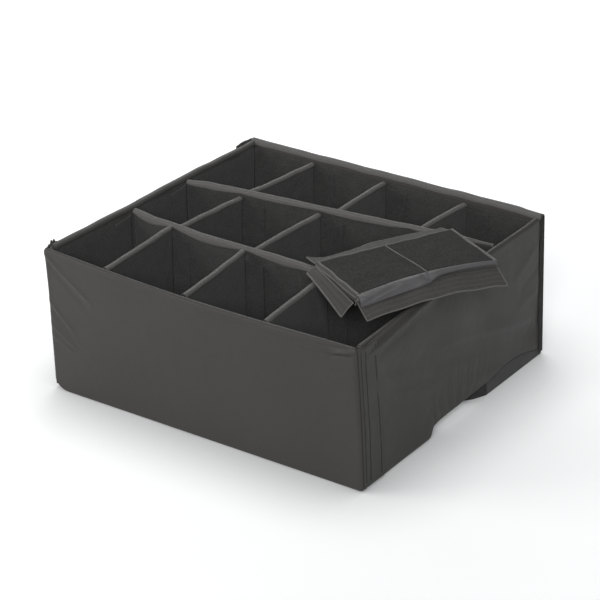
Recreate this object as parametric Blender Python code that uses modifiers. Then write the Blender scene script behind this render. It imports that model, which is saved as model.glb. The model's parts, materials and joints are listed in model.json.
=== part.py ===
"""Padded divider set for a large hard case, modelled as its separate sewn pieces.

Four padded walls stand in a ring round a base pad. Two long dividers cross the ring from side
to side, and eight short dividers stand between them and the walls, held by hook flaps at their
ends. A ninth short divider lies loose on top, over the front long divider and the right rim.

Metres, +Z up. The origin is on the ground under the middle of the wall ring: +X runs along the
front wall to its right end, and +Y from the front wall to the back wall.
"""
import math

import bmesh
import bpy
from mathutils import Euler, Vector

MM = 0.001

# Wall ring
BOX_LENGTH = 600 * MM
BOX_WIDTH = 574 * MM
WALL_HEIGHT = 259 * MM
WALL_THICKNESS = 14 * MM
WALL_COVER = 1.2 * MM
WALL_LINER = 1.5 * MM
COVER_LIP = 12 * MM
RIM_ROUND = 5 * MM
PANEL_CORNER = 8 * MM
FRONT_FOOT_CORNER = 28 * MM

# Notch in the foot of the right wall, and the recess behind it in the base pad
NOTCH_LENGTH = 206 * MM
NOTCH_HEIGHT = 21 * MM
NOTCH_CENTRE = 21 * MM
RECESS_DEPTH = 26 * MM
NOTCH_OUTLINE_SHARES = (
    (-0.500, 0.00), (-0.476, 0.55), (-0.440, 0.88), (-0.385, 1.00),
    (0.110, 1.00), (0.195, 0.66), (0.300, 0.27), (0.415, 0.07), (0.500, 0.00),
)

# Base pad
PAD_THICKNESS = 8 * MM
PAD_COVER = 1.2 * MM
PAD_ROUND = 2 * MM

# Dividers
DIVIDER_THICKNESS = 12 * MM
SLEEVE = 0.9 * MM
BINDING = 0.8 * MM
BINDING_WIDTH = 13 * MM
DIVIDER_ROUND = 2.5 * MM
LONG_DIVIDER_DROP = 2 * MM
SHORT_HEIGHT = 242 * MM
FRONT_ROW_DEPTH = 171 * MM
BACK_ROW_DEPTH = 156 * MM
REAR_SKEW_SHARE = 0.120
FRONT_BEND = 19 * MM
FRONT_BEND_SHARES = ((-1.000, 1.00), (-0.820, 0.47), (-0.360, 0.00), (1.000, 0.00))

# Each short divider: its X as a share of the inner length, and its far end's X less its near end's
FRONT_ROW = ((-0.343, -8 * MM), (-0.070, -14 * MM), (0.206, -8 * MM))
MIDDLE_ROW = ((-0.326, 13 * MM), (-0.059, 7 * MM))
BACK_ROW = ((-0.2955, 20 * MM), (-0.015, -1 * MM), (0.2615, 11 * MM))

# Hook flaps
FLAP_THICKNESS = 2 * MM
FLAP_WIDTH = 40 * MM
SEAM_FLAP_WIDTH = 55 * MM
SIDE_FLAP_WIDTH = 46 * MM
REAR_FLAP_WIDTH = 50 * MM
FLAP_FOOT = 6 * MM
FLAP_DROP = 3 * MM
FLAP_RISE = 3 * MM
FLAP_ROUND = 0.6 * MM

# Loose divider
LOOSE_WIDTH = 160 * MM
LOOSE_INSET = 72 * MM
LOOSE_SHIFT = 52 * MM
LOOSE_TURN = math.radians(57)
LOOSE_PITCH = math.radians(-3.6)
LOOSE_ROLL = math.radians(-4.5)
TAB_WIDTH = 32 * MM
TAB_LENGTH_SHARE = 0.88
DROOP_LIMIT = math.radians(28)

# Fits
SEAT_GAP = 0.3 * MM
OVERRUN = 3 * MM
WELD_DISTANCE = 0.01 * MM
FLAT_ANGLE = math.radians(1)
CORNER_ANGLE = math.radians(50)
ARC_STEPS = 5
ROUND_STEPS = 2
SEAT_SEARCH_STEPS = 30

# Finishes: colour, roughness
NYLON = ((0.078, 0.076, 0.073), 0.55)
LOOP = ((0.028, 0.027, 0.026), 0.95)
HOOK = ((0.022, 0.022, 0.022), 0.8)
TAPE = ((0.085, 0.083, 0.080), 0.5)
FOAM = ((0.12, 0.12, 0.125), 0.9)

INNER_LENGTH = BOX_LENGTH - 2 * WALL_THICKNESS
INNER_WIDTH = BOX_WIDTH - 2 * WALL_THICKNESS
DIVIDER_BODY = DIVIDER_THICKNESS - 2 * (BINDING + SEAT_GAP)
DIVIDER_FOOT = PAD_THICKNESS + SEAT_GAP
LONG_TOP = WALL_HEIGHT - LONG_DIVIDER_DROP
SHORT_TOP = DIVIDER_FOOT + SHORT_HEIGHT
FRONT_LINE = -INNER_WIDTH / 2 + FRONT_ROW_DEPTH + DIVIDER_THICKNESS / 2
REAR_LINE = INNER_WIDTH / 2 - BACK_ROW_DEPTH - DIVIDER_THICKNESS / 2
LOWER_FLAP_LEVEL = DIVIDER_ROUND - DIVIDER_THICKNESS
UPPER_FLAP_LEVEL = -DIVIDER_ROUND


def clear_scene():
    """Remove every object, so that the script builds into an empty scene."""
    for old in list(bpy.data.objects):
        bpy.data.objects.remove(old, do_unlink=True)


def new_collection(name):
    collection = bpy.data.collections.new(name)
    bpy.context.scene.collection.children.link(collection)
    return collection


clear_scene()
PARTS = new_collection("case_divider_set")
CUTTERS = new_collection("cutters")


def outline_solid(name, points, low, high, origin=(0, 0, 0), stands=False):
    """Extrude a closed outline from low to high: along Z, or along Y where the outline stands.

    Points and heights are given in the frame that the object is placed in, and origin is the
    place of the object's own origin there.
    """
    curve = bpy.data.curves.new(name, "CURVE")
    curve.dimensions = "2D"
    curve.fill_mode = "BOTH"
    curve.extrude = (high - low) / 2
    spline = curve.splines.new("POLY")
    spline.points.add(len(points) - 1)
    for point, (u, v) in zip(spline.points, points):
        point.co = (u, v, 0, 1)
    spline.use_cyclic_u = True
    drawn = bpy.data.objects.new(name + "_outline", curve)
    PARTS.objects.link(drawn)
    depsgraph = bpy.context.evaluated_depsgraph_get()
    mesh = bpy.data.meshes.new_from_object(drawn.evaluated_get(depsgraph))
    bpy.data.objects.remove(drawn, do_unlink=True)

    shape = bmesh.new()
    shape.from_mesh(mesh)
    bmesh.ops.remove_doubles(shape, verts=shape.verts, dist=WELD_DISTANCE)
    bmesh.ops.dissolve_limit(shape, angle_limit=FLAT_ANGLE, verts=shape.verts, edges=shape.edges)
    for vertex in shape.verts:
        u, v, depth = vertex.co
        depth += (low + high) / 2
        corner = Vector((u, depth, v)) if stands else Vector((u, v, depth))
        vertex.co = corner - Vector(origin)
    shape.normal_update()
    bmesh.ops.recalc_face_normals(shape, faces=shape.faces)
    shape.to_mesh(mesh)
    shape.free()
    solid = bpy.data.objects.new(name, mesh)
    solid.location = origin
    PARTS.objects.link(solid)
    return solid


def round_edges(solid, width, steps=ROUND_STEPS, square=None):
    """Round the edges of a solid.

    Where square gives an axis and a value, the solid is a straight block, and the edges round its
    open end, which lies at that value on that axis, stay square.
    """
    bevel = solid.modifiers.new("rounded", "BEVEL")
    bevel.width = width
    bevel.segments = steps
    bevel.use_clamp_overlap = False
    if square is None:
        bevel.limit_method = "ANGLE"
        bevel.angle_limit = CORNER_ANGLE
        return solid
    axis, value = square
    mesh = solid.data
    weights = mesh.attributes.new("bevel_weight_edge", "FLOAT", "EDGE")
    for edge, weight in zip(mesh.edges, weights.data):
        ends = [mesh.vertices[index].co[axis] for index in edge.vertices]
        weight.value = 0 if all(abs(end - value) < WELD_DISTANCE for end in ends) else 1
    bevel.limit_method = "WEIGHT"
    return solid


def combine(solid, other, operation):
    """Cut another solid from this one, or join it on, and keep the other as a guide."""
    PARTS.objects.unlink(other)
    CUTTERS.objects.link(other)
    other.hide_render = True
    other.display_type = "WIRE"
    boolean = solid.modifiers.new(other.name, "BOOLEAN")
    boolean.operation = operation
    boolean.solver = "EXACT"
    boolean.object = other
    return solid


def finish(solid, look):
    """Give the solid its own material."""
    colour, roughness = look
    material = bpy.data.materials.new(solid.name)
    material.use_nodes = True
    shader = material.node_tree.nodes["Principled BSDF"]
    shader.inputs["Base Color"].default_value = (*colour, 1)
    shader.inputs["Roughness"].default_value = roughness
    shader.inputs["Metallic"].default_value = 0
    solid.data.materials.append(material)
    return solid


def place(solids, location, turn):
    for solid in solids:
        solid.location = location
        solid.rotation_euler = (0, 0, turn)


def corner_points(u, v, radius, start):
    """Points of a rounded corner at (u, v), turning a quarter left from the angle start."""
    if radius <= 0:
        return [(u, v)]
    middle = start + math.pi / 4
    centre_u = u - radius * math.sqrt(2) * math.cos(middle)
    centre_v = v - radius * math.sqrt(2) * math.sin(middle)
    angles = [start + math.pi / 2 * step / ARC_STEPS for step in range(ARC_STEPS + 1)]
    return [(centre_u + radius * math.cos(a), centre_v + radius * math.sin(a)) for a in angles]


def wall_outline(length, margin, foot_corner, notched):
    """A wall seen from outside, drawn inside its edge by the margin."""
    half = length / 2 - margin
    top = WALL_HEIGHT - margin
    small = max(PANEL_CORNER - margin, 0)
    points = corner_points(-half, margin, max(foot_corner - margin, 0), -math.pi)
    if notched:
        reach = NOTCH_LENGTH + 2 * margin
        for along, height in NOTCH_OUTLINE_SHARES:
            points.append((NOTCH_CENTRE + along * reach, margin + height * NOTCH_HEIGHT))
    points += corner_points(half, margin, small, -math.pi / 2)
    points += corner_points(half, top, small, 0)
    points += corner_points(-half, top, small, math.pi / 2)
    return points


def build_wall(name, length, location, turn, foot_corner=PANEL_CORNER, notched=False):
    """A foam panel in a nylon cover, whose inner face is a sheet of loop fabric.

    Built with its outer face on the plane Y = 0 and its thickness along +Y, then turned.
    """
    def slab(part, margin, outer, inner, rounding):
        outline = wall_outline(length, margin, foot_corner, notched)
        solid = outline_solid(f"{name}_wall_{part}", outline, outer, inner, stands=True)
        return round_edges(solid, rounding) if rounding else solid

    lining = max(WALL_COVER, WALL_LINER)
    cover = slab("cover", 0, 0, WALL_THICKNESS, RIM_ROUND)
    hollow = slab("hollow", WALL_COVER, WALL_COVER, WALL_THICKNESS - WALL_COVER, RIM_ROUND - WALL_COVER)
    window = slab("window", COVER_LIP, WALL_THICKNESS / 2, WALL_THICKNESS + OVERRUN, 0)
    combine(cover, hollow, "DIFFERENCE")
    combine(cover, window, "DIFFERENCE")
    fit = WALL_COVER + SEAT_GAP
    core = slab("core", fit, fit, WALL_THICKNESS - lining - SEAT_GAP, RIM_ROUND - fit)
    liner = slab("liner", COVER_LIP + SEAT_GAP, WALL_THICKNESS - WALL_LINER, WALL_THICKNESS, 0)
    place((cover, hollow, window, core, liner), location, turn)
    finish(cover, NYLON)
    finish(core, FOAM)
    finish(liner, LOOP)


def build_walls():
    side_length = INNER_WIDTH - 2 * SEAT_GAP
    build_wall("front", BOX_LENGTH, (0, -BOX_WIDTH / 2, 0), 0, foot_corner=FRONT_FOOT_CORNER)
    build_wall("right", side_length, (BOX_LENGTH / 2, 0, 0), math.pi / 2, notched=True)
    build_wall("back", BOX_LENGTH, (0, BOX_WIDTH / 2, 0), math.pi)
    build_wall("left", side_length, (-BOX_LENGTH / 2, 0, 0), -math.pi / 2)


def pad_outline(margin):
    """The base pad in plan, with the recess behind the notch, drawn inside its edge by the margin."""
    half_length = INNER_LENGTH / 2 - SEAT_GAP - margin
    half_width = INNER_WIDTH / 2 - SEAT_GAP - margin
    recess = INNER_LENGTH / 2 - RECESS_DEPTH - margin
    near = NOTCH_CENTRE - NOTCH_LENGTH / 2 - margin
    far = NOTCH_CENTRE + NOTCH_LENGTH / 2 + margin
    return [
        (-half_length, -half_width), (half_length, -half_width), (half_length, near), (recess, near),
        (recess, far), (half_length, far), (half_length, half_width), (-half_length, half_width),
    ]


def build_base_pad():
    """A foam sheet under a loop fabric cover that turns down round its edges."""
    cover = outline_solid("base_pad_cover", pad_outline(0), 0, PAD_THICKNESS)
    round_edges(cover, PAD_ROUND, square=(2, 0))
    hollow = outline_solid("base_pad_hollow", pad_outline(PAD_COVER), -OVERRUN, PAD_THICKNESS - PAD_COVER)
    combine(cover, hollow, "DIFFERENCE")
    fit = PAD_COVER + SEAT_GAP
    foam = outline_solid("base_pad_foam", pad_outline(fit), 0, PAD_THICKNESS - fit)
    finish(cover, LOOP)
    finish(foam, FOAM)


def front_line(x):
    """Y of the middle of the front long divider, whose left end bends to the back."""
    share = x / (INNER_LENGTH / 2)
    for (start, bend), (stop, next_bend) in zip(FRONT_BEND_SHARES, FRONT_BEND_SHARES[1:]):
        if share <= stop:
            break
    ahead = (share - start) / (stop - start)
    return FRONT_LINE + FRONT_BEND * (bend + (next_bend - bend) * ahead)


def rear_line(x):
    """Y of the middle of the rear long divider, which stands a little askew."""
    return REAR_LINE + REAR_SKEW_SHARE * x


def front_wall_face(x):
    return -INNER_WIDTH / 2


def back_wall_face(x):
    return INNER_WIDTH / 2


def face_of(line, side):
    """The face of a long divider, side -1 for its front and 1 for its back, as a function of X."""
    return lambda x: line(x) + side * DIVIDER_THICKNESS / 2


def long_plan(line, half_thickness, inset):
    """A long divider in plan, each end drawn back from the side walls by the inset."""
    end = INNER_LENGTH / 2 - inset
    bends = [share * INNER_LENGTH / 2 for share, bend in FRONT_BEND_SHARES[1:-1]]
    stations = [-end, *(bends if line is front_line else []), end]
    front = [(x, line(x) - half_thickness) for x in stations]
    back = [(x, line(x) + half_thickness) for x in reversed(stations)]
    return front + back


def hook_flap(name, root, reach, low, high, look=HOOK):
    """An upright hook flap in plan from its hinge at root to root + reach, its origin on the hinge."""
    root = Vector(root)
    tip = root + Vector(reach)
    heel = Vector(reach).normalized() * FLAP_THICKNESS / 2
    side = heel.orthogonal()
    corners = [root - heel - side, tip - side, tip + side, root - heel + side]
    points = [tuple(corner) for corner in corners]
    flap = outline_solid(name, points, low, high, origin=(root.x, root.y, low))
    return finish(round_edges(flap, FLAP_ROUND, 1), look)


def build_long_divider(name, line):
    """A foam strip in a loop fabric sleeve with a bound top edge, and a hook flap at each end."""
    body = DIVIDER_BODY / 2
    origin = (0, line(0), DIVIDER_FOOT)
    sleeve_top = LONG_TOP - BINDING
    sleeve_plan = long_plan(line, body, SEAT_GAP + BINDING)
    sleeve = outline_solid(f"{name}_sleeve", sleeve_plan, DIVIDER_FOOT, sleeve_top, origin)
    round_edges(sleeve, DIVIDER_ROUND, square=(2, 0))
    band_plan = long_plan(line, DIVIDER_THICKNESS / 2, SEAT_GAP)
    band = outline_solid(f"{name}_band", band_plan, LONG_TOP - BINDING_WIDTH, LONG_TOP, origin)
    round_edges(band, DIVIDER_ROUND)
    hollow_plan = long_plan(line, body - SLEEVE, SEAT_GAP + BINDING + SLEEVE)
    hollow_top = sleeve_top - SLEEVE
    hollow = outline_solid(f"{name}_hollow", hollow_plan, DIVIDER_FOOT - OVERRUN, hollow_top, origin)
    round_edges(hollow, DIVIDER_ROUND - SLEEVE, square=(2, -OVERRUN))
    combine(sleeve, band, "UNION")
    combine(sleeve, hollow, "DIFFERENCE")
    fit = SLEEVE + SEAT_GAP
    core_plan = long_plan(line, body - fit, SEAT_GAP + BINDING + fit)
    core = outline_solid(f"{name}_core", core_plan, DIVIDER_FOOT + SEAT_GAP, hollow_top - SEAT_GAP, origin)
    round_edges(core, DIVIDER_ROUND - fit, square=(2, SEAT_GAP))
    finish(sleeve, LOOP)
    finish(core, FOAM)

    end = INNER_LENGTH / 2 - SEAT_GAP - FLAP_THICKNESS / 2
    step = DIVIDER_THICKNESS / 2 + SEAT_GAP + FLAP_THICKNESS / 2
    top = LONG_TOP - FLAP_DROP
    low = DIVIDER_FOOT + SEAT_GAP
    hook_flap(f"{name}_right_flap", (end, line(end) + step), (0, FLAP_WIDTH), low, top)
    hook_flap(f"{name}_left_flap", (-end, line(-end) - step), (0, -FLAP_WIDTH), low, top)


def short_plan(ends, half_thickness, near, far, inset):
    """A short divider in plan, between two faces given as functions of X, less the inset.

    The ends are the X of its near end and of its far end.
    """
    near_x, far_x = ends
    return [
        (near_x - half_thickness, near(near_x - half_thickness) + inset),
        (near_x + half_thickness, near(near_x + half_thickness) + inset),
        (far_x + half_thickness, far(far_x + half_thickness) - inset),
        (far_x - half_thickness, far(far_x - half_thickness) - inset),
    ]


def end_flap_plan(low_x, high_x, face, side):
    """A hook flap lying along a face, side 1 where the divider is beyond the face and -1 before it."""
    start = SEAT_GAP * side
    stop = (SEAT_GAP + FLAP_THICKNESS) * side
    return [
        (low_x, face(low_x) + start), (high_x, face(high_x) + start),
        (high_x, face(high_x) + stop), (low_x, face(low_x) + stop),
    ]


def build_short_divider(name, ends, near, far):
    """A foam pad in a loop fabric sleeve, with nylon edging that ends in two hook flaps.

    The near flap is turned to the left along the near face, the far flap to the right.
    """
    body = DIVIDER_BODY / 2
    half = DIVIDER_THICKNESS / 2
    near_x, far_x = ends
    origin = ((near_x + far_x) / 2, (near(near_x) + far(far_x)) / 2, DIVIDER_FOOT)
    low = DIVIDER_FOOT
    edging_end = SEAT_GAP + FLAP_THICKNESS
    sleeve_end = edging_end + SEAT_GAP
    sleeve_top = SHORT_TOP - BINDING - SEAT_GAP

    sleeve_plan = short_plan(ends, body, near, far, sleeve_end)
    sleeve = outline_solid(f"{name}_sleeve", sleeve_plan, low, sleeve_top, origin)
    round_edges(sleeve, DIVIDER_ROUND, square=(2, 0))
    hollow_plan = short_plan(ends, body - SLEEVE, near, far, sleeve_end + SLEEVE)
    hollow = outline_solid(f"{name}_hollow", hollow_plan, low - OVERRUN, sleeve_top - SLEEVE, origin)
    round_edges(hollow, DIVIDER_ROUND - SLEEVE, square=(2, -OVERRUN))
    combine(sleeve, hollow, "DIFFERENCE")
    fit = SLEEVE + SEAT_GAP
    core_plan = short_plan(ends, body - fit, near, far, sleeve_end + fit)
    core = outline_solid(f"{name}_core", core_plan, low + SEAT_GAP, sleeve_top - fit, origin)
    round_edges(core, DIVIDER_ROUND - fit, square=(2, SEAT_GAP))

    edging_plan = short_plan(ends, half, near, far, SEAT_GAP + FLAP_THICKNESS / 4)
    edging = outline_solid(f"{name}_edging", edging_plan, low, SHORT_TOP, origin)
    round_edges(edging, DIVIDER_ROUND - SEAT_GAP, square=(2, 0))
    slot_plan = short_plan(ends, body + SEAT_GAP, near, far, edging_end)
    slot = outline_solid(f"{name}_slot", slot_plan, low - OVERRUN, sleeve_top + SEAT_GAP, origin)
    round_edges(slot, DIVIDER_ROUND - SEAT_GAP - BINDING, square=(2, -OVERRUN))
    face_plan = short_plan(ends, half + OVERRUN, near, far, edging_end + BINDING_WIDTH)
    faces = outline_solid(f"{name}_faces", face_plan, low - OVERRUN, SHORT_TOP - BINDING_WIDTH, origin)
    flap_top = SHORT_TOP - FLAP_DROP
    near_plan = end_flap_plan(near_x - half - FLAP_WIDTH, near_x, near, 1)
    far_plan = end_flap_plan(far_x, far_x + half + FLAP_WIDTH, far, -1)
    near_flap = outline_solid(f"{name}_near_flap", near_plan, low, flap_top, origin)
    far_flap = outline_solid(f"{name}_far_flap", far_plan, low, flap_top, origin)
    combine(edging, near_flap, "UNION")
    combine(edging, far_flap, "UNION")
    combine(edging, slot, "DIFFERENCE")
    combine(edging, faces, "DIFFERENCE")
    finish(sleeve, LOOP)
    finish(core, FOAM)
    finish(edging, TAPE)


def short_dividers():
    """Each short divider that stands in a row: its name, its ends' X, and its near and far faces."""
    rows = (
        ("front", FRONT_ROW, front_wall_face, face_of(front_line, -1)),
        ("middle", MIDDLE_ROW, face_of(front_line, 1), face_of(rear_line, -1)),
        ("back", BACK_ROW, face_of(rear_line, 1), back_wall_face),
    )
    for row, places, near, far in rows:
        for count, (share, lean) in enumerate(places, 1):
            middle = share * INNER_LENGTH
            yield f"{row}_divider_{count}", (middle - lean / 2, middle + lean / 2), near, far


def build_dividers():
    build_long_divider("front_long_divider", front_line)
    build_long_divider("rear_long_divider", rear_line)
    for name, ends, near, far in short_dividers():
        build_short_divider(name, ends, near, far)


def build_corner_flaps():
    """The walls' own hook flaps, which turn each corner and lie on the outside of the next wall."""
    out_x = BOX_LENGTH / 2 + SEAT_GAP + FLAP_THICKNESS / 2
    out_y = BOX_WIDTH / 2 + SEAT_GAP + FLAP_THICKNESS / 2
    end_x = BOX_LENGTH / 2 - RIM_ROUND
    end_y = BOX_WIDTH / 2 - RIM_ROUND
    level = WALL_HEIGHT - FLAP_DROP
    proud = WALL_HEIGHT + FLAP_RISE
    hook_flap("front_right_corner_flap", (out_x, -end_y), (0, SEAM_FLAP_WIDTH), FLAP_FOOT, level, NYLON)
    hook_flap("back_right_corner_flap", (end_x, out_y), (-REAR_FLAP_WIDTH, 0), FLAP_FOOT, level)
    hook_flap("back_left_corner_flap", (-out_x, end_y), (0, -SIDE_FLAP_WIDTH), FLAP_FOOT, proud)
    hook_flap("front_left_corner_flap", (-out_x, -end_y), (0, SIDE_FLAP_WIDTH), FLAP_FOOT, proud)


def clip_to_strip(polygon, axis, low, high):
    """Keep the part of a flat polygon in space that lies between two values of X or Y."""
    for limit, sign in ((low, 1), (high, -1)):
        kept = []
        for here, after in zip(polygon, polygon[1:] + polygon[:1]):
            inside = sign * (here[axis] - limit)
            next_inside = sign * (after[axis] - limit)
            if inside >= 0:
                kept.append(here)
            if inside * next_inside < 0:
                kept.append(here.lerp(after, inside / (inside - next_inside)))
        polygon = kept
    return polygon


def supports():
    """What the loose divider can lie on: X range, Y range and height of each flat top edge."""
    half_x = INNER_LENGTH / 2
    half_flat = DIVIDER_THICKNESS / 2 - DIVIDER_ROUND
    rear_end = rear_line(half_x)
    rim = (half_x + RIM_ROUND / 2, BOX_LENGTH / 2 - RIM_ROUND / 2)
    side_wall = (rim, (-INNER_WIDTH / 2, INNER_WIDTH / 2), WALL_HEIGHT)
    front = ((-half_x, half_x), (FRONT_LINE - half_flat, FRONT_LINE + half_flat), LONG_TOP)
    rear = ((-half_x, half_x), (REAR_LINE - half_flat, rear_end + half_flat), LONG_TOP)
    standing = [
        ((min(ends) - half_flat, max(ends) + half_flat), (near(ends[0]), far(ends[1])), SHORT_TOP)
        for name, ends, near, far in short_dividers()
    ]
    return [side_wall, front, rear, *standing]


def clearance(corners):
    """The least height of a flat underside over the supports, or None where it misses them all."""
    gaps = []
    for x_range, y_range, top in supports():
        over = clip_to_strip(clip_to_strip(corners, 0, *x_range), 1, *y_range)
        gaps += [point.z - top for point in over]
    return min(gaps) if gaps else None


def loose_rotation():
    return Euler((LOOSE_ROLL, LOOSE_PITCH, LOOSE_TURN), "XYZ").to_matrix()


def underside(x_range, y_range, depth):
    """World directions of the corners of a rectangle in the loose divider's own frame."""
    turn = loose_rotation()
    (x0, x1), (y0, y1) = x_range, y_range
    return [turn @ Vector((x, y, depth)) for x, y in ((x0, y0), (x1, y0), (x1, y1), (x0, y1))]


def loose_location():
    """Where the loose divider's seam lies once it is lowered onto the first thing it meets."""
    end = SHORT_HEIGHT / 2
    side = LOOSE_WIDTH / 2
    flat_end = end - DIVIDER_ROUND
    flat_side = side - DIVIDER_ROUND
    tab_end = end + TAB_WIDTH + FLAP_THICKNESS
    flap_end = side + FLAP_WIDTH + FLAP_THICKNESS
    spot = Vector((BOX_LENGTH / 2 - LOOSE_INSET, FRONT_LINE + LOOSE_SHIFT, 0))
    pieces = (
        underside((-flat_end, flat_end), (-flat_side, flat_side), -DIVIDER_THICKNESS),
        underside((-tab_end, -end), (-flat_side, flat_side), LOWER_FLAP_LEVEL - FLAP_THICKNESS / 2),
        underside((-flat_end, flat_end), (side, flap_end), UPPER_FLAP_LEVEL - FLAP_THICKNESS / 2),
    )
    gaps = [clearance([spot + corner for corner in piece]) for piece in pieces]
    spot.z = SEAT_GAP - min(gap for gap in gaps if gap is not None)
    return spot


def front_flap_droop(spot):
    """How far the front flap hangs below the loose divider's plane before it meets the rim."""
    turn = loose_rotation()
    half_length = SHORT_HEIGHT / 2
    hinge_y = -(LOOSE_WIDTH / 2 + SEAT_GAP + FLAP_THICKNESS / 2)
    least, most = 0, DROOP_LIMIT
    for _ in range(SEAT_SEARCH_STEPS):
        angle = (least + most) / 2
        out = Vector((0, -math.cos(angle), -math.sin(angle)))
        under = Vector((0, math.sin(angle), -math.cos(angle))) * FLAP_THICKNESS / 2
        root = Vector((0, hinge_y, LOWER_FLAP_LEVEL)) + under
        tip = root + out * FLAP_WIDTH
        ends = (Vector((-half_length, 0, 0)), Vector((half_length, 0, 0)))
        corners = [ends[0] + root, ends[1] + root, ends[1] + tip, ends[0] + tip]
        gap = clearance([spot + turn @ corner for corner in corners])
        if gap is not None and gap < SEAT_GAP:
            most = angle
        else:
            least = angle
    return least


def rectangle(x0, x1, y0, y1):
    return [(x0, y0), (x1, y0), (x1, y1), (x0, y1)]


def hang_on(parent, solids):
    """Place solids, whose locations are in the parent's frame, under the parent."""
    for solid in solids:
        solid.parent = parent


def build_loose_half(frame, side, name):
    """One half of the loose divider: foam in a sleeve of loop fabric that is open at the seam."""
    inner = SEAT_GAP / 2
    outer = SHORT_HEIGHT / 2
    half = LOOSE_WIDTH / 2

    def block(part, start, inset):
        """From the start, near the seam, to the outer edges less the inset."""
        spans = sorted((side * start, side * (outer - inset)))
        reach = half - inset
        plan = rectangle(*spans, -reach, reach)
        solid = outline_solid(f"{name}_{part}", plan, inset - DIVIDER_THICKNESS, -inset)
        return round_edges(solid, DIVIDER_ROUND - inset, square=(0, side * start))

    sleeve = block("sleeve", inner, 0)
    hollow = block("hollow", -OVERRUN, SLEEVE)
    core = block("core", inner + SEAT_GAP, SLEEVE + SEAT_GAP)
    pieces = [sleeve, hollow, core]
    if side > 0:
        reach = half - DIVIDER_ROUND
        plan = rectangle(outer - BINDING_WIDTH, outer + BINDING, -reach, reach)
        band = outline_solid(f"{name}_band", plan, -DIVIDER_THICKNESS - BINDING, BINDING)
        combine(sleeve, round_edges(band, DIVIDER_ROUND), "UNION")
        pieces.append(band)
    combine(sleeve, hollow, "DIFFERENCE")
    finish(sleeve, LOOP)
    finish(core, FOAM)
    hang_on(frame, pieces)


def loose_flap(frame, name, x_range, root, outward, droop=0):
    """A hook flap of the loose divider, along its long edge, with its origin on the hinge line."""
    root_y, root_z = root
    thin = FLAP_THICKNESS / 2
    spans = sorted((-outward * thin, outward * FLAP_WIDTH))
    middle = sum(x_range) / 2
    outline = rectangle(x_range[0] - middle, x_range[1] - middle, *spans)
    flap = outline_solid(name, outline, -thin, thin)
    flap.location = (middle, root_y, root_z)
    flap.rotation_euler = (droop, 0, 0)
    finish(round_edges(flap, FLAP_ROUND, 1), HOOK)
    hang_on(frame, [flap])


def build_loose_divider():
    """The ninth short divider, laid flat on top, in a frame whose origin is on its stitched seam."""
    spot = loose_location()
    frame = bpy.data.objects.new("loose_divider_frame", None)
    frame.location = spot
    frame.rotation_euler = (LOOSE_ROLL, LOOSE_PITCH, LOOSE_TURN)
    PARTS.objects.link(frame)
    build_loose_half(frame, -1, "loose_divider_left")
    build_loose_half(frame, 1, "loose_divider_right")

    seam = SEAT_GAP / 2
    end = SHORT_HEIGHT / 2 - DIVIDER_ROUND
    edge = LOOSE_WIDTH / 2 + SEAT_GAP + FLAP_THICKNESS / 2
    droop = front_flap_droop(spot)
    for side, x_range in (("left", (-end, -seam)), ("right", (seam, end))):
        loose_flap(frame, f"loose_divider_front_flap_{side}", x_range, (-edge, LOWER_FLAP_LEVEL), -1, droop)
        loose_flap(frame, f"loose_divider_back_flap_{side}", x_range, (edge, UPPER_FLAP_LEVEL), 1)

    half_tab = LOOSE_WIDTH * TAB_LENGTH_SHARE / 2
    thin = FLAP_THICKNESS / 2
    tab = outline_solid("loose_divider_tab", rectangle(-TAB_WIDTH, thin, -half_tab, half_tab), -thin, thin)
    tab.location = (-(SHORT_HEIGHT / 2 + SEAT_GAP + thin), 0, LOWER_FLAP_LEVEL)
    finish(round_edges(tab, FLAP_ROUND, 1), HOOK)
    hang_on(frame, [tab])


build_walls()
build_base_pad()
build_dividers()
build_corner_flaps()
build_loose_divider()
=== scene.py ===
"""Looks of the padded divider set: every sewn piece, its cloth and its stitches.

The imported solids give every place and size. Each soft solid is replaced by a quilted pad, a sheet
of cloth or a hook flap worked out as a surface on a grid, in metres, in the same frame.
"""
import json
import math

import bpy
import numpy as np
from bpy.props import FloatProperty, FloatVectorProperty, PointerProperty
from mathutils import Matrix, Vector


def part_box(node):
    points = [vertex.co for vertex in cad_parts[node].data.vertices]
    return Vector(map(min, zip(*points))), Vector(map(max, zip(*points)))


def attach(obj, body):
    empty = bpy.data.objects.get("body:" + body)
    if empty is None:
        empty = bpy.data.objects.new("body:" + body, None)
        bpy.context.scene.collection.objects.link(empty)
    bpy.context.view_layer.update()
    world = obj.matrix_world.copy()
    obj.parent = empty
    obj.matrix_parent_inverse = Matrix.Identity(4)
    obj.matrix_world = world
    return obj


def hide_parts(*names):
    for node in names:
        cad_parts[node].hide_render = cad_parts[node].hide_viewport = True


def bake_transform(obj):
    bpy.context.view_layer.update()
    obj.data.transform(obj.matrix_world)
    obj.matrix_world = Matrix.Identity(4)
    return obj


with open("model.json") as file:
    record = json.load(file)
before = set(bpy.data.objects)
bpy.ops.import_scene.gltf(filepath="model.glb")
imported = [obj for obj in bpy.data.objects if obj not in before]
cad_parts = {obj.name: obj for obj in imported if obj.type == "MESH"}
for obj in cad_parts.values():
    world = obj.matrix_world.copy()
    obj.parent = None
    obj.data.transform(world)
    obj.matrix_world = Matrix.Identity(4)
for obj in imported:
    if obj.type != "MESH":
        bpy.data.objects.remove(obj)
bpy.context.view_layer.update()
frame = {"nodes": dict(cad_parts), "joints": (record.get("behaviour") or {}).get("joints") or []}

bl_info = {
    "name": "Case Divider Set",
    "version": (1, 0, 0),
    "blender": (4, 5, 0),
    "location": "View3D > Sidebar > Divider Set",
    "description": "Builds a padded divider set for a large hard case round its solids",
    "category": "Add Mesh",
}

MM = 0.001
WALLS = ("front", "right", "back", "left")
SHORT_DIVIDERS = (
    "front_divider_1", "front_divider_2", "front_divider_3", "middle_divider_1",
    "middle_divider_2", "back_divider_1", "back_divider_2", "back_divider_3",
)
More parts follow.
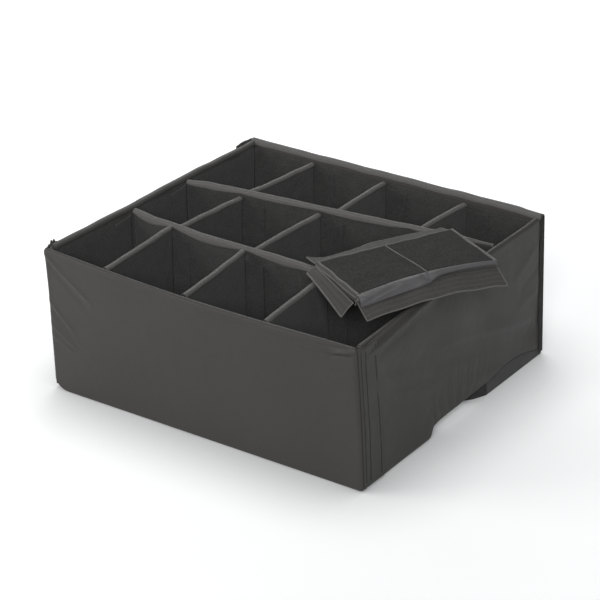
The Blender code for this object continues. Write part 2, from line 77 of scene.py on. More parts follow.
# The lowest and the highest corner of the ring of walls
RING_LOW = np.array(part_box("front_wall_cover")[0])
RING_HIGH = np.array(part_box("back_wall_cover")[1])
# Thicknesses of the dividers' pads, and of the same over their bindings
LONG_PAD, LONG_BOUND = 10 * MM, 10.6 * MM
SHORT_PAD, SHORT_BOUND = 9.4 * MM, 9.6 * MM
# Thicknesses over the tape of the two bound rims
BACK_RIM_BOUND, LEFT_RIM_BOUND = 14.6 * MM, 12.4 * MM
# Thicknesses of cloth and tape
LINING_CLOTH = 0.6 * MM
BINDING_TAPE = 0.6 * MM
FACE_CLOTH = 0.7 * MM
ROLL_CLOTH = 0.8 * MM
STRIP_CLOTH = 0.8 * MM
HEM_TAPE = 1.4 * MM
HOOK_TAPE = 1.7 * MM
CORNER_TAPE = 1.9 * MM
SHORT_HOOK_TAPE = 0.5 * MM
# The thread's radius, and how far stitches stand above the middle of the tape that they are sewn to
THREAD_RADIUS = 0.35 * MM
STITCH_LIFT = 0.9 * MM
CORNER_STITCH_LIFT = 1.05 * MM


# Settings

class PadSizes(bpy.types.PropertyGroup):
    """Sizes of the pads and their seams."""
    wall_round: FloatProperty(
        name="Wall rounding", description="Radius of a wall panel's edges",
        default=6.2 * MM, unit="LENGTH")
    divider_round: FloatProperty(
        name="Divider rounding", description="Radius of a divider pad's edges",
        default=4.6 * MM, unit="LENGTH")
    rim_sag: FloatProperty(
        name="Rim sag", description="How far the front wall's rim sags between its corners",
        default=5 * MM, unit="LENGTH")
    lip: FloatProperty(
        name="Cover lip", description="Width of the nylon lip that turns over the lining",
        default=12 * MM, unit="LENGTH")
    ripple: FloatProperty(
        name="Ripple", description="Height of the soft ripples in the nylon",
        default=0.9 * MM, unit="LENGTH")
    stitch: FloatProperty(
        name="Stitch length", description="Length of one stitch",
        default=3.2 * MM, unit="LENGTH")
    loose_arch: FloatProperty(
        name="Loose divider arch", description="Rise of the loose divider's front edge at its seam",
        default=10 * MM, unit="LENGTH")


class ClothColours(bpy.types.PropertyGroup):
    """Colours of the cloths."""
    nylon: FloatVectorProperty(
        name="Nylon", description="Colour of the nylon covers", subtype="COLOR",
        size=3, default=(0.046, 0.044, 0.042))
    loop: FloatVectorProperty(
        name="Loop cloth", description="Colour of the brushed loop cloth", subtype="COLOR",
        size=3, default=(0.030, 0.0295, 0.029))
    hook: FloatVectorProperty(
        name="Hook tape", description="Colour of the hook tape's back", subtype="COLOR",
        size=3, default=(0.036, 0.035, 0.034))
    tape: FloatVectorProperty(
        name="Binding", description="Colour of the binding tape", subtype="COLOR",
        size=3, default=(0.085, 0.083, 0.080))
    thread: FloatVectorProperty(
        name="Thread", description="Colour of the stitches", subtype="COLOR",
        size=3, default=(0.060, 0.058, 0.055))
    floor: FloatVectorProperty(
        name="Floor", description="Colour of the paper floor", subtype="COLOR",
        size=3, default=(0.83, 0.84, 0.845))


# Shader maths

class Number:
    """A number that varies over a surface. Arithmetic on it adds Math nodes."""

    def __init__(self, finish, socket):
        self.finish = finish
        self.socket = socket

    def math(self, operation, *others):
        """The result of a Math node on this number and up to two others."""
        values = dict(enumerate((self, *others)))
        return self.finish.node("ShaderNodeMath", {"operation": operation}, values)

    def __add__(self, other):
        return self.math("ADD", other)

    __radd__ = __add__

    def __sub__(self, other):
        return self.math("SUBTRACT", other)

    def __rsub__(self, other):
        return self * -1 + other

    def __mul__(self, other):
        return self.math("MULTIPLY", other)

    __rmul__ = __mul__

    def wave(self, length):
        """Sine of the number, one turn in the length."""
        return (self * (2 * math.pi / length)).math("SINE")

    def step(self, low, high):
        """0 below low, 1 above high, and straight between them."""
        settings = {"interpolation_type": "LINEAR", "clamp": True}
        values = {"Value": self, "From Min": low, "From Max": high}
        return self.finish.node("ShaderNodeMapRange", settings, values)


class Finish:
    """A material: its Principled shader and the nodes that feed it."""

    def __init__(self, name, colour, roughness):
        self.material = bpy.data.materials.new(name)
        self.material.use_nodes = True
        self.tree = self.material.node_tree
        self.shader = self.tree.nodes["Principled BSDF"]
        self.shader.inputs["Base Color"].default_value = (*colour, 1)
        self.shader.inputs["Roughness"].default_value = roughness

    def node(self, kind, settings=None, values=None, output=0):
        """Add a node with its settings, then the values or links of its sockets."""
        node = self.tree.nodes.new(kind)
        for name, value in (settings or {}).items():
            setattr(node, name, value)
        for key, value in (values or {}).items():
            self.feed(node.inputs[key], value)
        return Number(self, node.outputs[output])

    def feed(self, socket, value):
        """Link a socket to what varies, or set it to a number or a colour."""
        if isinstance(value, Number):
            self.tree.links.new(value.socket, socket)
        elif isinstance(socket.default_value, float):
            socket.default_value = value
        else:
            socket.default_value = (*value, 1)[:len(socket.default_value)]

    def place(self):
        """Object coordinates, which are the part's own, in metres."""
        return self.node("ShaderNodeTexCoord", output="Object")

    def along(self):
        """The two numbers of the piece's own UV map, in metres."""
        uv = self.node("ShaderNodeUVMap", {"uv_map": "cloth"})
        parts = self.node("ShaderNodeSeparateXYZ", None, {0: uv})
        return parts, Number(self, parts.socket.node.outputs["Y"])

    def noise(self, scale, detail, roughness):
        """Cloudy noise from 0 to 1, with so many clouds to the metre."""
        values = {"Vector": self.place(), "Scale": scale, "Detail": detail, "Roughness": roughness}
        return self.node("ShaderNodeTexNoise", None, values)

    def mix(self, factor, first, second):
        """A colour between two colours."""
        values = {0: factor, 6: first, 7: second}
        return self.node("ShaderNodeMix", {"data_type": "RGBA"}, values, output=2)

    def colour(self, value):
        self.feed(self.shader.inputs["Base Color"], value)

    def roughness(self, value):
        self.feed(self.shader.inputs["Roughness"], value)

    def gloss(self, specular, sheen=0.0):
        """How strongly the finish mirrors light, and its nap's sheen."""
        self.shader.inputs["Specular IOR Level"].default_value = specular
        self.shader.inputs["Sheen Weight"].default_value = sheen

    def relief(self, height, depth):
        """Bump from a height of 0 to 1 that stands for a depth in metres."""
        values = {"Height": height, "Distance": depth, "Strength": 1.0}
        self.feed(self.shader.inputs["Normal"], self.node("ShaderNodeBump", None, values))


def toned(colour, share):
    """A colour with each channel multiplied by a share, below or above one."""
    return tuple(channel * share for channel in colour)


def nylon_cloth(name, colour, crumple=1.0):
    """Closely woven nylon: a fine plain weave, faint crumples and an uneven soft gloss."""
    cloth = Finish(name, colour, 0.5)
    across, up = cloth.along()
    pitch = 0.9 * MM
    weave = across.wave(pitch) * up.wave(pitch) * 0.5 + 0.5
    crumples = cloth.noise(38, 4.0, 0.6)
    clouds = cloth.noise(7, 2.0, 0.5)
    tone = (clouds - 0.5) * 0.35 + weave * 0.3 + 0.35
    cloth.colour(cloth.mix(tone, toned(colour, 0.86), toned(colour, 1.14)))
    cloth.roughness((crumples - 0.5) * 0.18 + 0.5)
    cloth.relief(crumples * (1.1 * crumple) + weave * 0.06, 0.9 * MM)
    cloth.gloss(0.28, 0.04)
    return cloth.material


def loop_cloth(name, colour, gloss=1.0):
    """Brushed loop cloth: a dull nap of fine tufts with darker brushed patches."""
    cloth = Finish(name, colour, 0.95)
    tufts = cloth.noise(380, 3.0, 0.8)
    patches = cloth.noise(45, 3.0, 0.6)
    tone = (tufts - 0.5) * 1.8 + (patches - 0.5) * 0.5 + 0.5
    cloth.colour(cloth.mix(tone, toned(colour, 0.3), toned(colour, 1.75)))
    cloth.relief(tufts * 0.8 + patches * 0.5, 1.1 * MM)
    cloth.gloss(0.25 * gloss, 0.12 * gloss)
    cloth.shader.inputs["Sheen Roughness"].default_value = 0.6
    return cloth.material


def ribbed_tape(name, colour, rib, gloss=1.0):
    """Woven tape: ribs across its length, a fine twill, long streaks and worn patches."""
    cloth = Finish(name, colour, 0.6)
    across, up = cloth.along()
    ribs = across.wave(rib) * 0.5 + 0.5
    twill = (across + up).wave(rib * 0.8) * 0.5 + 0.5
    wear = cloth.noise(260, 3.0, 0.7)
    streaks = up.wave(9 * MM) * 0.5 + 0.5
    tone = ribs * 0.2 + streaks * 0.35 + (wear - 0.5) * 1.5 + 0.28
    cloth.colour(cloth.mix(tone, toned(colour, 0.75), toned(colour, 1.25)))
    cloth.roughness((wear - 0.5) * 0.2 + 0.6)
    cloth.relief(ribs * 0.25 + twill * 0.12 + wear * 0.5, 0.6 * MM)
    cloth.gloss(0.5 * gloss, 0.08 * gloss)
    return cloth.material


def twisted_thread(name, colour):
    """Sewing thread with a fine fuzz of lighter and darker fibres."""
    cloth = Finish(name, colour, 0.45)
    fuzz = cloth.noise(1500, 1.0, 0.5)
    cloth.colour(cloth.mix(fuzz, toned(colour, 0.8), toned(colour, 1.3)))
    return cloth.material


def paper(name, colour):
    """Studio paper lit to white: it shines by itself for the camera alone, with painted contact shadow
    dimming its colour and glow near the set.
    """
    sheet = Finish(name, colour, 0.9)
    grain = sheet.noise(3, 2.0, 0.5)
    # Painted contact shadow: an ambient occlusion mask darkens the paper's colour and its glow near the set
    shade = sheet.node("ShaderNodeAmbientOcclusion", {"samples": 12}, {"Distance": 0.16}, output=1)
    clear_of_painted_shadow = shade.step(0.42, 0.985)
    white = sheet.mix(grain, toned(colour, 0.985), colour)
    sheet.colour(sheet.mix(clear_of_painted_shadow, toned(colour, 0.72), white))
    seen = sheet.node("ShaderNodeLightPath", output=0)
    glow = sheet.mix(clear_of_painted_shadow, toned(colour, 0.2), colour)
    sheet.feed(sheet.shader.inputs["Emission Color"], sheet.mix(seen, (0.0, 0.0, 0.0), glow))
    sheet.shader.inputs["Emission Strength"].default_value = 0.42
    sheet.gloss(0.1)
    return sheet.material


MADE = {}


def finishes():
    """The materials by name, made once."""
    if not MADE:
        colours = bpy.context.scene.cloth_colours
        nylon, loop, hook, tape, thread, floor = (
            tuple(getattr(colours, name)) for name in ("nylon", "loop", "hook", "tape", "thread", "floor"))
        bluish_highlight = (*tape[:2], tape[2] * 1.08)
        MADE["nylon_cover"] = nylon_cloth("quilted_nylon", nylon)
        MADE["nylon_lip"] = nylon_cloth("side_nylon", toned(tape, 0.7), crumple=0.5)
        # Lighter, bluer nylon for the loose divider's roll: painted highlight along its rounded edge
        MADE["highlit_nylon_roll"] = nylon_cloth("highlit_rolled_nylon", toned(bluish_highlight, 1.05), crumple=0.8)
        MADE["piping"] = ribbed_tape("piping", tape, 1.4 * MM)
        MADE["loop_fabric"] = loop_cloth("brushed_loop", loop)
        MADE["loop_face"] = loop_cloth("brushed_loop_face", toned(loop, 1.15), gloss=0.2)
        MADE["hook_tape"] = ribbed_tape("hook_backing", toned(hook, 1.6), 1.6 * MM, gloss=0.35)
        MADE["nylon_tape"] = ribbed_tape("binding", tape, 1.2 * MM)
        MADE["thread"] = twisted_thread("stitching", thread)
        # Near-black thread for the corner flaps' stitches, also used for the painted shade of the stitched
        # grooves
        MADE["black_thread_and_groove_shade"] = twisted_thread("black_stitching_and_groove_shade", toned(thread, 0.1))
        MADE["floor_paper"] = paper("studio_paper", floor)
    return MADE


# Surfaces on a grid

def smooth(value):
    """Eases from 0 to 1 as the value goes from 0 to 1: 3t^2 - 2t^3."""
    value = np.clip(value, 0, 1)
    return value * value * (3 - 2 * value)


def ripples(along, up, seed, length, height):
    """Soft cloth ripples: the sum of twelve sine waves of about the length, in seeded directions."""
    chance = np.random.default_rng(seed)
    total = np.zeros(np.broadcast(along, up).shape)
    for _ in range(12):
        turn = chance.uniform(0, math.pi)
        wave = length * chance.uniform(0.6, 1.8)
        phase = chance.uniform(0, 2 * math.pi)
        travel = along * math.cos(turn) + up * math.sin(turn)
        total = total + np.sin(2 * math.pi * travel / wave + phase)
    return total * height / math.sqrt(6)


def crease(along, up, start, end, width, height):
    """A fold along a straight line: a bell across it, easing out at both of its ends."""
    (x0, z0), (x1, z1) = start, end
    run = math.hypot(x1 - x0, z1 - z0)
    ax, az = (x1 - x0) / run, (z1 - z0) / run
    reach = ((along - x0) * ax + (up - z0) * az) / run
    off = (along - x0) * az - (up - z0) * ax
    ends = smooth((reach + 0.15) / 0.3) * smooth((1.15 - reach) / 0.3)
    return height * np.exp(-((off / width) ** 2)) * ends


def creases(along, up, table, strength):
    """The sum of a table's creases, each with its start and end, width and depth in mm."""
    total = np.zeros(np.broadcast(along, up).shape)
    for (x0, z0), (x1, z1), width, deep in table:
        total += crease(along, up, (x0 * MM, z0 * MM), (x1 * MM, z1 * MM), width * MM, deep * MM * strength)
    return total


def mound(along, up, centre, size, height):
    """A soft swelling: a bell round the centre, of one size along and another up."""
    return height * np.exp(-(((along - centre[0]) / size[0]) ** 2) - ((up - centre[1]) / size[1]) ** 2)


def travelled(path):
    """The distance along a path to each of its points."""
    return np.concatenate([[0], np.cumsum(np.linalg.norm(np.diff(path, axis=0), axis=1))])


def mesh_piece(name, points, faces, material, uv=None):
    """An object from points and faces, with its own UV map in metres where it has one."""
    mesh = bpy.data.meshes.new(name)
    mesh.from_pydata(points.reshape(-1, 3).tolist(), [], faces)
    if uv is not None:
        layer = mesh.uv_layers.new(name="cloth")
        corners = np.empty(len(mesh.loops), np.int32)
        mesh.loops.foreach_get("vertex_index", corners)
        layer.data.foreach_set("uv", uv.reshape(-1, 2)[corners].astype(np.float32).ravel())
    mesh.shade_smooth()
    mesh.materials.append(finishes()[material])
    piece = bpy.data.objects.new(name, mesh)
    bpy.context.scene.collection.objects.link(piece)
    return piece


def grid_object(name, points, uv, material, closed=True):
    """An object from a grid of points: rows run round the piece, columns along it.

    Closed, the last row joins the first, and the ends are closed by strips between rows that
    face each other, so the rows have to be laid out as a mirrored pair of halves. The piece is
    turned outside out if its volume comes out negative.
    """
    columns, rows = points.shape[:2]
    index = np.arange(columns * rows).reshape(columns, rows)
    beside = np.roll(index, -1, axis=1) if closed else index[:, 1:]
    here = index if closed else index[:, :-1]
    quads = np.stack([here[:-1], here[1:], beside[1:], beside[:-1]], -1).reshape(-1, 4)
    if closed:
        step = np.arange(rows // 2 - 1)
        for ring, turn in ((index[0], 1), (index[-1], -1)):
            lid = np.stack([ring[step], ring[step + 1], ring[rows - 2 - step], ring[rows - 1 - step]], -1)
            quads = np.concatenate([quads, lid[:, ::turn]])
        first, second, third, fourth = (points.reshape(-1, 3)[quads[:, corner]] for corner in range(4))
        if np.sum(first * np.cross(second - fourth, third - first)) > 0:
            quads = quads[:, ::-1]
    return mesh_piece(name, points, quads.tolist(), material, uv)


def pad_grid(length, thickness, foot, top, rounding, columns, rows):
    """A pad's surface as a rounded slab: along, through and up, and how far each point faces out.

    A half ring runs up the outer face with a quarter circle at its foot and its rim, and is
    mirrored for the inner face. Towards each end the ring is drawn in along a quarter circle.
    """
    quarter = np.linspace(0, math.pi / 2, 6)
    inset = rounding * (1 - np.sin(quarter))
    near = rounding * (1 - np.cos(quarter))
    middle = np.linspace(rounding, length - rounding, columns)[1:-1]
    along = np.concatenate([near, middle, length - near[::-1]])
    drawn = np.concatenate([inset, np.zeros(len(middle)), inset[::-1]])[:, None]

    angle = np.concatenate([1.5 * math.pi - quarter, np.full(rows - 2, math.pi), math.pi - quarter])
    face = np.linspace(0, 1, rows)[1:-1]
    rise = np.concatenate([np.zeros(len(quarter)), face, np.ones(len(quarter))])
    rise = np.concatenate([rise, rise[::-1]])[None]
    lift = np.concatenate([np.sin(angle), np.sin(angle)[::-1]])[None]
    side = np.concatenate([np.cos(angle), -np.cos(angle)[::-1]])[None]
    centre = np.repeat((rounding, thickness - rounding), len(angle))[None]

    feet, tops = foot(along)[:, None], top(along)[:, None]
    radius = rounding - drawn
    through = centre + side * radius
    up = feet + rounding + rise * (tops - feet - 2 * rounding) + lift * radius
    return np.broadcast_to(along[:, None], up.shape), through, up, np.broadcast_to(side, up.shape)


def ring_uv(along, through, up):
    """Metres along the pad and metres round its middle ring."""
    middle = len(along) // 2
    round_it = travelled(np.stack([through[middle], up[middle]], -1))
    return np.stack(np.broadcast_arrays(along, round_it), -1)


def level(value):
    """A height or depth that is the same all along a pad."""
    return lambda along: np.full(np.shape(along), value)


# How far the ring's corners have settled from a true box, in mm: front left, front right, back
# right and back left, each at its foot and at its rim
SETTLED = np.array([
    [[-7, 4, 0], [-6, 0, 0]], [[2, 8, 0], [0, -6, -2]],
    [[7, 0, 0], [-2, 0, 0]], [[0, 0, 0], [3, 0, 0]],
]) * MM
# Rim lines drawn in (+X) or out along the left and right walls, and out (-Y) along the front wall:
# the place along the wall and the shift, in mm
LEFT_RIM = (
    (-287, -8), (-245, -7), (-150, -5), (-57, -3), (20, -4), (82, -5), (150, -2), (230, 0), (287, 0),
)
RIGHT_RIM = (
    (-287, -2.5), (-262, -0.5), (-225, -1.5), (-177, -3), (-60, -4), (60, -3), (130, -2), (230, 1), (287, 0),
)
FRONT_RIM = ((-300, 0), (-200, -5), (-94, -8), (3, -9), (120, -8), (220, -6), (300, -5))


def rim_line(table, where):
    """A rim's shift at places along it, straight between the table's places."""
    places, shifts = np.array(table, float).T * MM
    return np.interp(where, places, shifts)


def settled(points):
    """Points of the set moved as the whole ring has settled.

    The shifts of the eight corners are blended linearly, and the rims' own lines are added,
    growing with the square of the height and fading out from each wall towards the middle.
    """
    shares = (points - RING_LOW) / (RING_HIGH - RING_LOW)
    right, back, rise = (shares[..., axis] for axis in range(3))
    x, y = points[..., 0], points[..., 1]
    total = np.zeros(points.shape)
    for corner, (a, b) in enumerate(((0, 0), (1, 0), (1, 1), (0, 1))):
        share = (right if a else 1 - right) * (back if b else 1 - back)
        foot, rim = SETTLED[corner]
        total += (share * (1 - rise))[..., None] * foot + (share * rise)[..., None] * rim
    high = np.clip(rise, 0, 1.05) ** 2
    total[..., 0] += rim_line(LEFT_RIM, y) * high * smooth((-210 * MM - x) / (70 * MM))
    total[..., 0] += rim_line(RIGHT_RIM, y) * high * smooth((x - 190 * MM) / (90 * MM))
    total[..., 1] += rim_line(FRONT_RIM, x) * high * smooth((-160 * MM - y) / (110 * MM))
    return points + total


def surface_normals(points, towards=None):
    """Unit normals of a grid, from the cross product of its two directions.

    Where a direction is given, they are turned to its side.
    """
    normals = np.cross(np.gradient(points, axis=0), np.gradient(points, axis=1))
    normals = normals / np.linalg.norm(normals, axis=-1, keepdims=True)
    if towards is not None:
        normals = normals * np.sign(np.sum(normals * towards, axis=-1, keepdims=True))
    return normals


def thin_sheet(name, centre, thickness, material, uv, normals=None):
    """A cloth or tape with a real thickness: its middle surface moved out both ways, closed round."""
    normals = surface_normals(centre) if normals is None else normals
    front = centre + normals * thickness / 2
    back = centre - normals * thickness / 2
    ring = np.concatenate([front, back[:, ::-1]], axis=1)
    return grid_object(name, ring, np.concatenate([uv, uv[:, ::-1]], axis=1), material)


def stitch_row(name, path, normal, length, material="thread"):
    """A row of stitches along a path, with a gap between each two.

    A stitch is a tube of four rings, thin at both ends, whose middle rises in a low arch.
    """
    path = np.asarray(path, float)
    travel = travelled(path)
    count = max(int(travel[-1] / length), 1)

    def at(part):
        """Where each stitch is at a part of its own length and gap."""
        distance = (np.arange(count) + part) * travel[-1] / count
        return np.stack([np.interp(distance, travel, path[:, axis]) for axis in range(3)], -1)

    first, last = at(0.12), at(0.82)
    normal = np.broadcast_to(np.asarray(normal, float), first.shape)
    ahead = (last - first) / np.linalg.norm(last - first, axis=1, keepdims=True)
    side = np.cross(ahead, normal)
    share = np.array([0, 0.25, 0.75, 1])
    girth = np.array([0.35, 1, 1, 0.35])
    turn = np.arange(5) * 2 * math.pi / 5
    middle = first[:, None] + (last - first)[:, None] * share[None, :, None]
    arch = np.sin(math.pi * share)[None, :, None] * normal[:, None] * THREAD_RADIUS * 0.6
    around = (np.cos(turn)[None, None, :, None] * side[:, None, None]
              + np.sin(turn)[None, None, :, None] * normal[:, None, None])
    rings = (middle + arch)[:, :, None] + around * (girth[None, :, None, None] * THREAD_RADIUS)
    index = np.arange(rings[..., 0].size).reshape(rings.shape[:3])
    beside = np.roll(index, -1, axis=2)
    sides = np.stack([index[:, :-1], beside[:, :-1], beside[:, 1:], index[:, 1:]], -1).reshape(-1, 4)
    lids = index[:, 0, ::-1].tolist() + index[:, -1].tolist()
    return mesh_piece(name, rings, sides.tolist() + lids, material)


def belong(piece, body, nodes=()):
    """Say what a finished piece rides on and stands for."""
    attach(piece, body)
    if nodes:
        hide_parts(*nodes)


# Wall panels

# The tables of folds give start and end in mm, width and depth. Along the front wall they count
# from its left end, along the right wall from its middle, and up both from the floor.
FRONT_FOLDS = (
    ((-6, 256), (84, 192), 3.4, 2.2), ((4, 236), (80, 176), 6, -1.2), ((-2, 170), (52, 124), 3.4, 1.7),
    ((0, 156), (48, 112), 5, -0.9), ((-2, 128), (50, 96), 3.4, 1.2), ((-2, 108), (46, 84), 4, 0.8),
    ((520, 240), (594, 250), 3.2, 2.0), ((535, 250), (594, 256), 2.6, -1.6),
    ((500, 228), (590, 243), 4.0, -1.3), ((556, 196), (600, 212), 6, 0.9),
    ((300, 240), (560, 244), 3, -1.3), ((60, 248), (260, 241), 3, -0.9),
    ((556, 240), (600, 254), 2.4, 2.4), ((548, 232), (600, 247), 2.6, -2.2),
)
RIGHT_FOLDS = (
    ((-262, 247), (-110, 257), 5, -1.8), ((-250, 238), (-60, 252), 9, 2.6),
    ((-240, 222), (-100, 240), 8, -0.9), ((-225, 198), (-60, 132), 15, -2.6),
    ((-60, 132), (110, 92), 15, -2.4), ((110, 92), (262, 50), 15, -2.6),
    ((-60, 158), (250, 78), 17, 2.2), ((-200, 150), (-60, 104), 10, -1.2), ((26, 54), (268, 16), 11, 1.4),
    ((188, 178), (262, 214), 11, 0.7), ((205, 150), (268, 176), 9, -0.6), ((200, 120), (266, 132), 10, 0.6),
)
# The small folds that fan out above the notch
NOTCH_FOLDS = (
    ((-68, 28), (-84, 58), 3.2, -2.2), ((-60, 30), (-70, 78), 3.6, 1.6), ((-47, 30), (-58, 62), 3, -1.6),
    ((-36, 29), (-44, 74), 3, 1.3), ((-24, 30), (-30, 86), 3.2, -1.5), ((-12, 31), (-13, 92), 3, 1.4),
    ((0, 31), (4, 96), 3, -1.5), ((12, 30), (20, 84), 3, 1.2), ((25, 31), (38, 96), 3.2, -1.4),
    ((38, 31), (56, 78), 3, 1.3), ((52, 31), (74, 84), 3.2, -1.2), ((70, 32), (96, 66), 3.4, 0.9),
)
# The right wall's foot in mm, along Y and up: the notch, then the edge that lifts behind it
RIGHT_FOOT = (
    (-86, 0), (-82, 3), (-77, 11), (-72, 17), (-56, 19.5), (-25, 20.5), (11, 20.5), (46, 22), (78, 22),
    (104, 21.5), (123, 24), (141, 28), (168, 30), (200, 27), (224, 23), (277, 8), (284, 1), (286, 0),
)
# The line on the strip under that edge, in mm along Y and up, and the strip's way out in X
STRIP_LINE = ((56, 22), (104, 22), (123, 24), (141, 28), (168, 30), (200, 27), (224, 23), (277, 8), (283, 4))
STRIP_OUT = ((56, 274.5), (74, 287.5), (97, 297.2), (130, 297.6), (200, 298), (283, 298.6))
STRIP_ENDS = (56 * MM, 283 * MM)


class Wall:
    """Where a wall panel stands: its outer foot corner, its heading and the way in."""
    headings = {"front": (1, 0, 0), "right": (0, 1, 0), "back": (-1, 0, 0), "left": (0, -1, 0)}

    def __init__(self, side):
        low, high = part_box(f"{side}_wall_cover")
        self.side = side
        self.heading = np.array(self.headings[side], float)
        self.inward = np.array((-self.heading[1], self.heading[0], 0))
        corners = {
            "front": (low.x, low.y), "right": (high.x, low.y),
            "back": (high.x, high.y), "left": (low.x, high.y),
        }
        self.corner = np.array((*corners[side], low.z))
        size = high - low
        self.length = max(size.x, size.y)
        self.thickness = min(size.x, size.y)
        self.height = size.z
        self.tilt = 4 * MM if side == "back" else 0

    def place(self, along, through, up):
        """Settled places along the wall, inwards and up."""
        flat = along[..., None] * self.heading + through[..., None] * self.inward
        return settled(self.corner + flat + up[..., None] * np.array([0, 0, 1.0]))

    def lifted(self, along, through, up):
        """Heights on a tilted rim, whose outer edge stands higher, most of all near its first end."""
        rise = smooth(along / (50 * MM)) * (1 - 0.5 * along / self.length)
        near_rim = smooth((up / self.height - 0.85) / 0.15)
        return up + self.tilt * rise * (1 - through / self.thickness) * near_rim

    def kept(self, up):
        """The share of its thickness that the panel keeps: down to 0.76 in the tenth below its rim."""
        return 1 - 0.24 * smooth((up / self.height - 0.9) / 0.1)


def front_shape(wall, sizes):
    """Sag of the rim, a rounded foot corner at the left, and creases that fan from both ends."""
    length, height = wall.length, wall.height

    def top(along):
        return height - sizes.rim_sag * np.sin(math.pi * along / length) ** 1.3

    def foot(along):
        corner = 27 * MM
        reach = np.clip(1 - along / corner, 0, 1)
        return corner * (1 - np.sqrt(1 - reach ** 2))

    def outer(along, up):
        total = ripples(along, up, 3, 210 * MM, sizes.ripple) + creases(along, up, FRONT_FOLDS, 1.1)
        return total + mound(along, up, (0.5 * length, 0.55 * height), (0.3 * length, 0.3 * height), 3 * MM)

    return top, foot, outer


def right_shape(wall, sizes):
    """A notch in the foot, a lifted foot edge behind it, folds across the wall and above the notch."""
    length, height = wall.length, wall.height

    def top(along):
        return height - 1.5 * MM * np.sin(math.pi * along / length)

    def foot(along):
        places, heights = np.array(RIGHT_FOOT).T * MM
        return np.interp(along - length / 2, places, heights)

    def outer(along, up):
        y = along - length / 2
        total = ripples(along, up, 11, 170 * MM, sizes.ripple)
        total += mound(y, up, (-120 * MM, 205 * MM), (90 * MM, 26 * MM), 2.5 * MM)
        total += mound(y, up, (60 * MM, 190 * MM), (150 * MM, 40 * MM), 3.5 * MM)
        return total + creases(y, up, RIGHT_FOLDS, 1.8) + creases(y, up, NOTCH_FOLDS, 0.5)

    return top, foot, outer


def back_shape(wall, sizes):
    """Softly rippled, its rim swollen outwards, most of all near the right corner."""
    def outer(along, up):
        swell = smooth(along / (60 * MM)) * (1 - 0.75 * along / wall.length)
        rising = smooth((up / wall.height - 0.35) / 0.65)
        return ripples(along, up, 21, 200 * MM, sizes.ripple) + 7 * MM * swell * rising

    return level(wall.height), level(0), outer


def left_shape(wall, sizes):
    """Softly rippled all over."""
    def outer(along, up):
        return ripples(along, up, 31, 200 * MM, sizes.ripple)

    return level(wall.height), level(0), outer


SHAPES = {"front": front_shape, "right": right_shape, "back": back_shape, "left": left_shape}


def build_cover(wall, shape, sizes):
    """A wall's pad in its nylon cover, with its inner face set back inside the lip.

    The outer face's relief is weaker at the ends and fades out at the foot.
    """
    top, foot, outer = shape
    recess_depth = 0.9 * MM
    columns, rows = (330, 150) if wall.side == "right" else (300, 110)
    along, through, up, facing = pad_grid(
        wall.length, wall.thickness, foot, top, sizes.wall_round, columns, rows)
    ends = smooth(along / (12 * MM)) * smooth((wall.length - along) / (12 * MM))
    feet = smooth((up - foot(along)) / (9 * MM))
    outward = np.clip(-facing, 0, 1) * outer(along, up) * (0.3 + 0.7 * ends) * feet
    recess = recess_depth * smooth((np.clip(facing, 0, 1) - 0.9) / 0.1)
    inside = (up > sizes.lip) & (up < wall.height - sizes.lip)
    shifted = through * wall.kept(up) - outward - recess * inside * ends
    points = wall.place(along, shifted, wall.lifted(along, through, up))
    cover = grid_object(f"{wall.side}_cover", points, ring_uv(along, through, up), "nylon_cover")
    belong(cover, "insert", (f"{wall.side}_wall_cover", f"{wall.side}_wall_core"))
    return cover


def build_lining(wall, shape, sizes):
    """The sheet of loop cloth on a wall's inner face: flat, hemmed, and curled over at the rim."""
    top, foot, _ = shape
    margin = sizes.lip - 1 * MM
    over = 0.2 * MM if wall.side == "left" else margin
    side_margin = 0.6 * MM if wall.side in ("left", "right") else margin
    span = np.linspace(side_margin, wall.length - side_margin, 120)[:, None]
    low, high = foot(span) + margin, top(span) - over
    height = low + (high - low) * np.linspace(0, 1, 70)[None]
    span = np.broadcast_to(span, height.shape)
    from_end = np.minimum(span - side_margin, wall.length - side_margin - span)
    hem = np.minimum(from_end, np.minimum(height - low, high - height))
    raised = 0.7 * MM * smooth(hem / (2.5 * MM)) + ripples(span, height, 41, 90 * MM, 0.12 * MM)
    radius = sizes.wall_round
    curl = np.clip((height - top(span) + radius) / radius, 0, 1)
    depth = wall.thickness - 1.0 * MM + raised - radius * (1 - np.sqrt(1 - curl ** 2))
    middle = wall.place(span, depth * wall.kept(height), wall.lifted(span, depth, height))
    lining = thin_sheet(
        f"{wall.side}_lining", middle, LINING_CLOTH, "loop_fabric", np.stack([span, height], -1),
        surface_normals(middle, -wall.inward))
    belong(lining, "insert", (f"{wall.side}_wall_liner",))
    flat = (wall.length - 2 * side_margin, wall.height - margin - over)


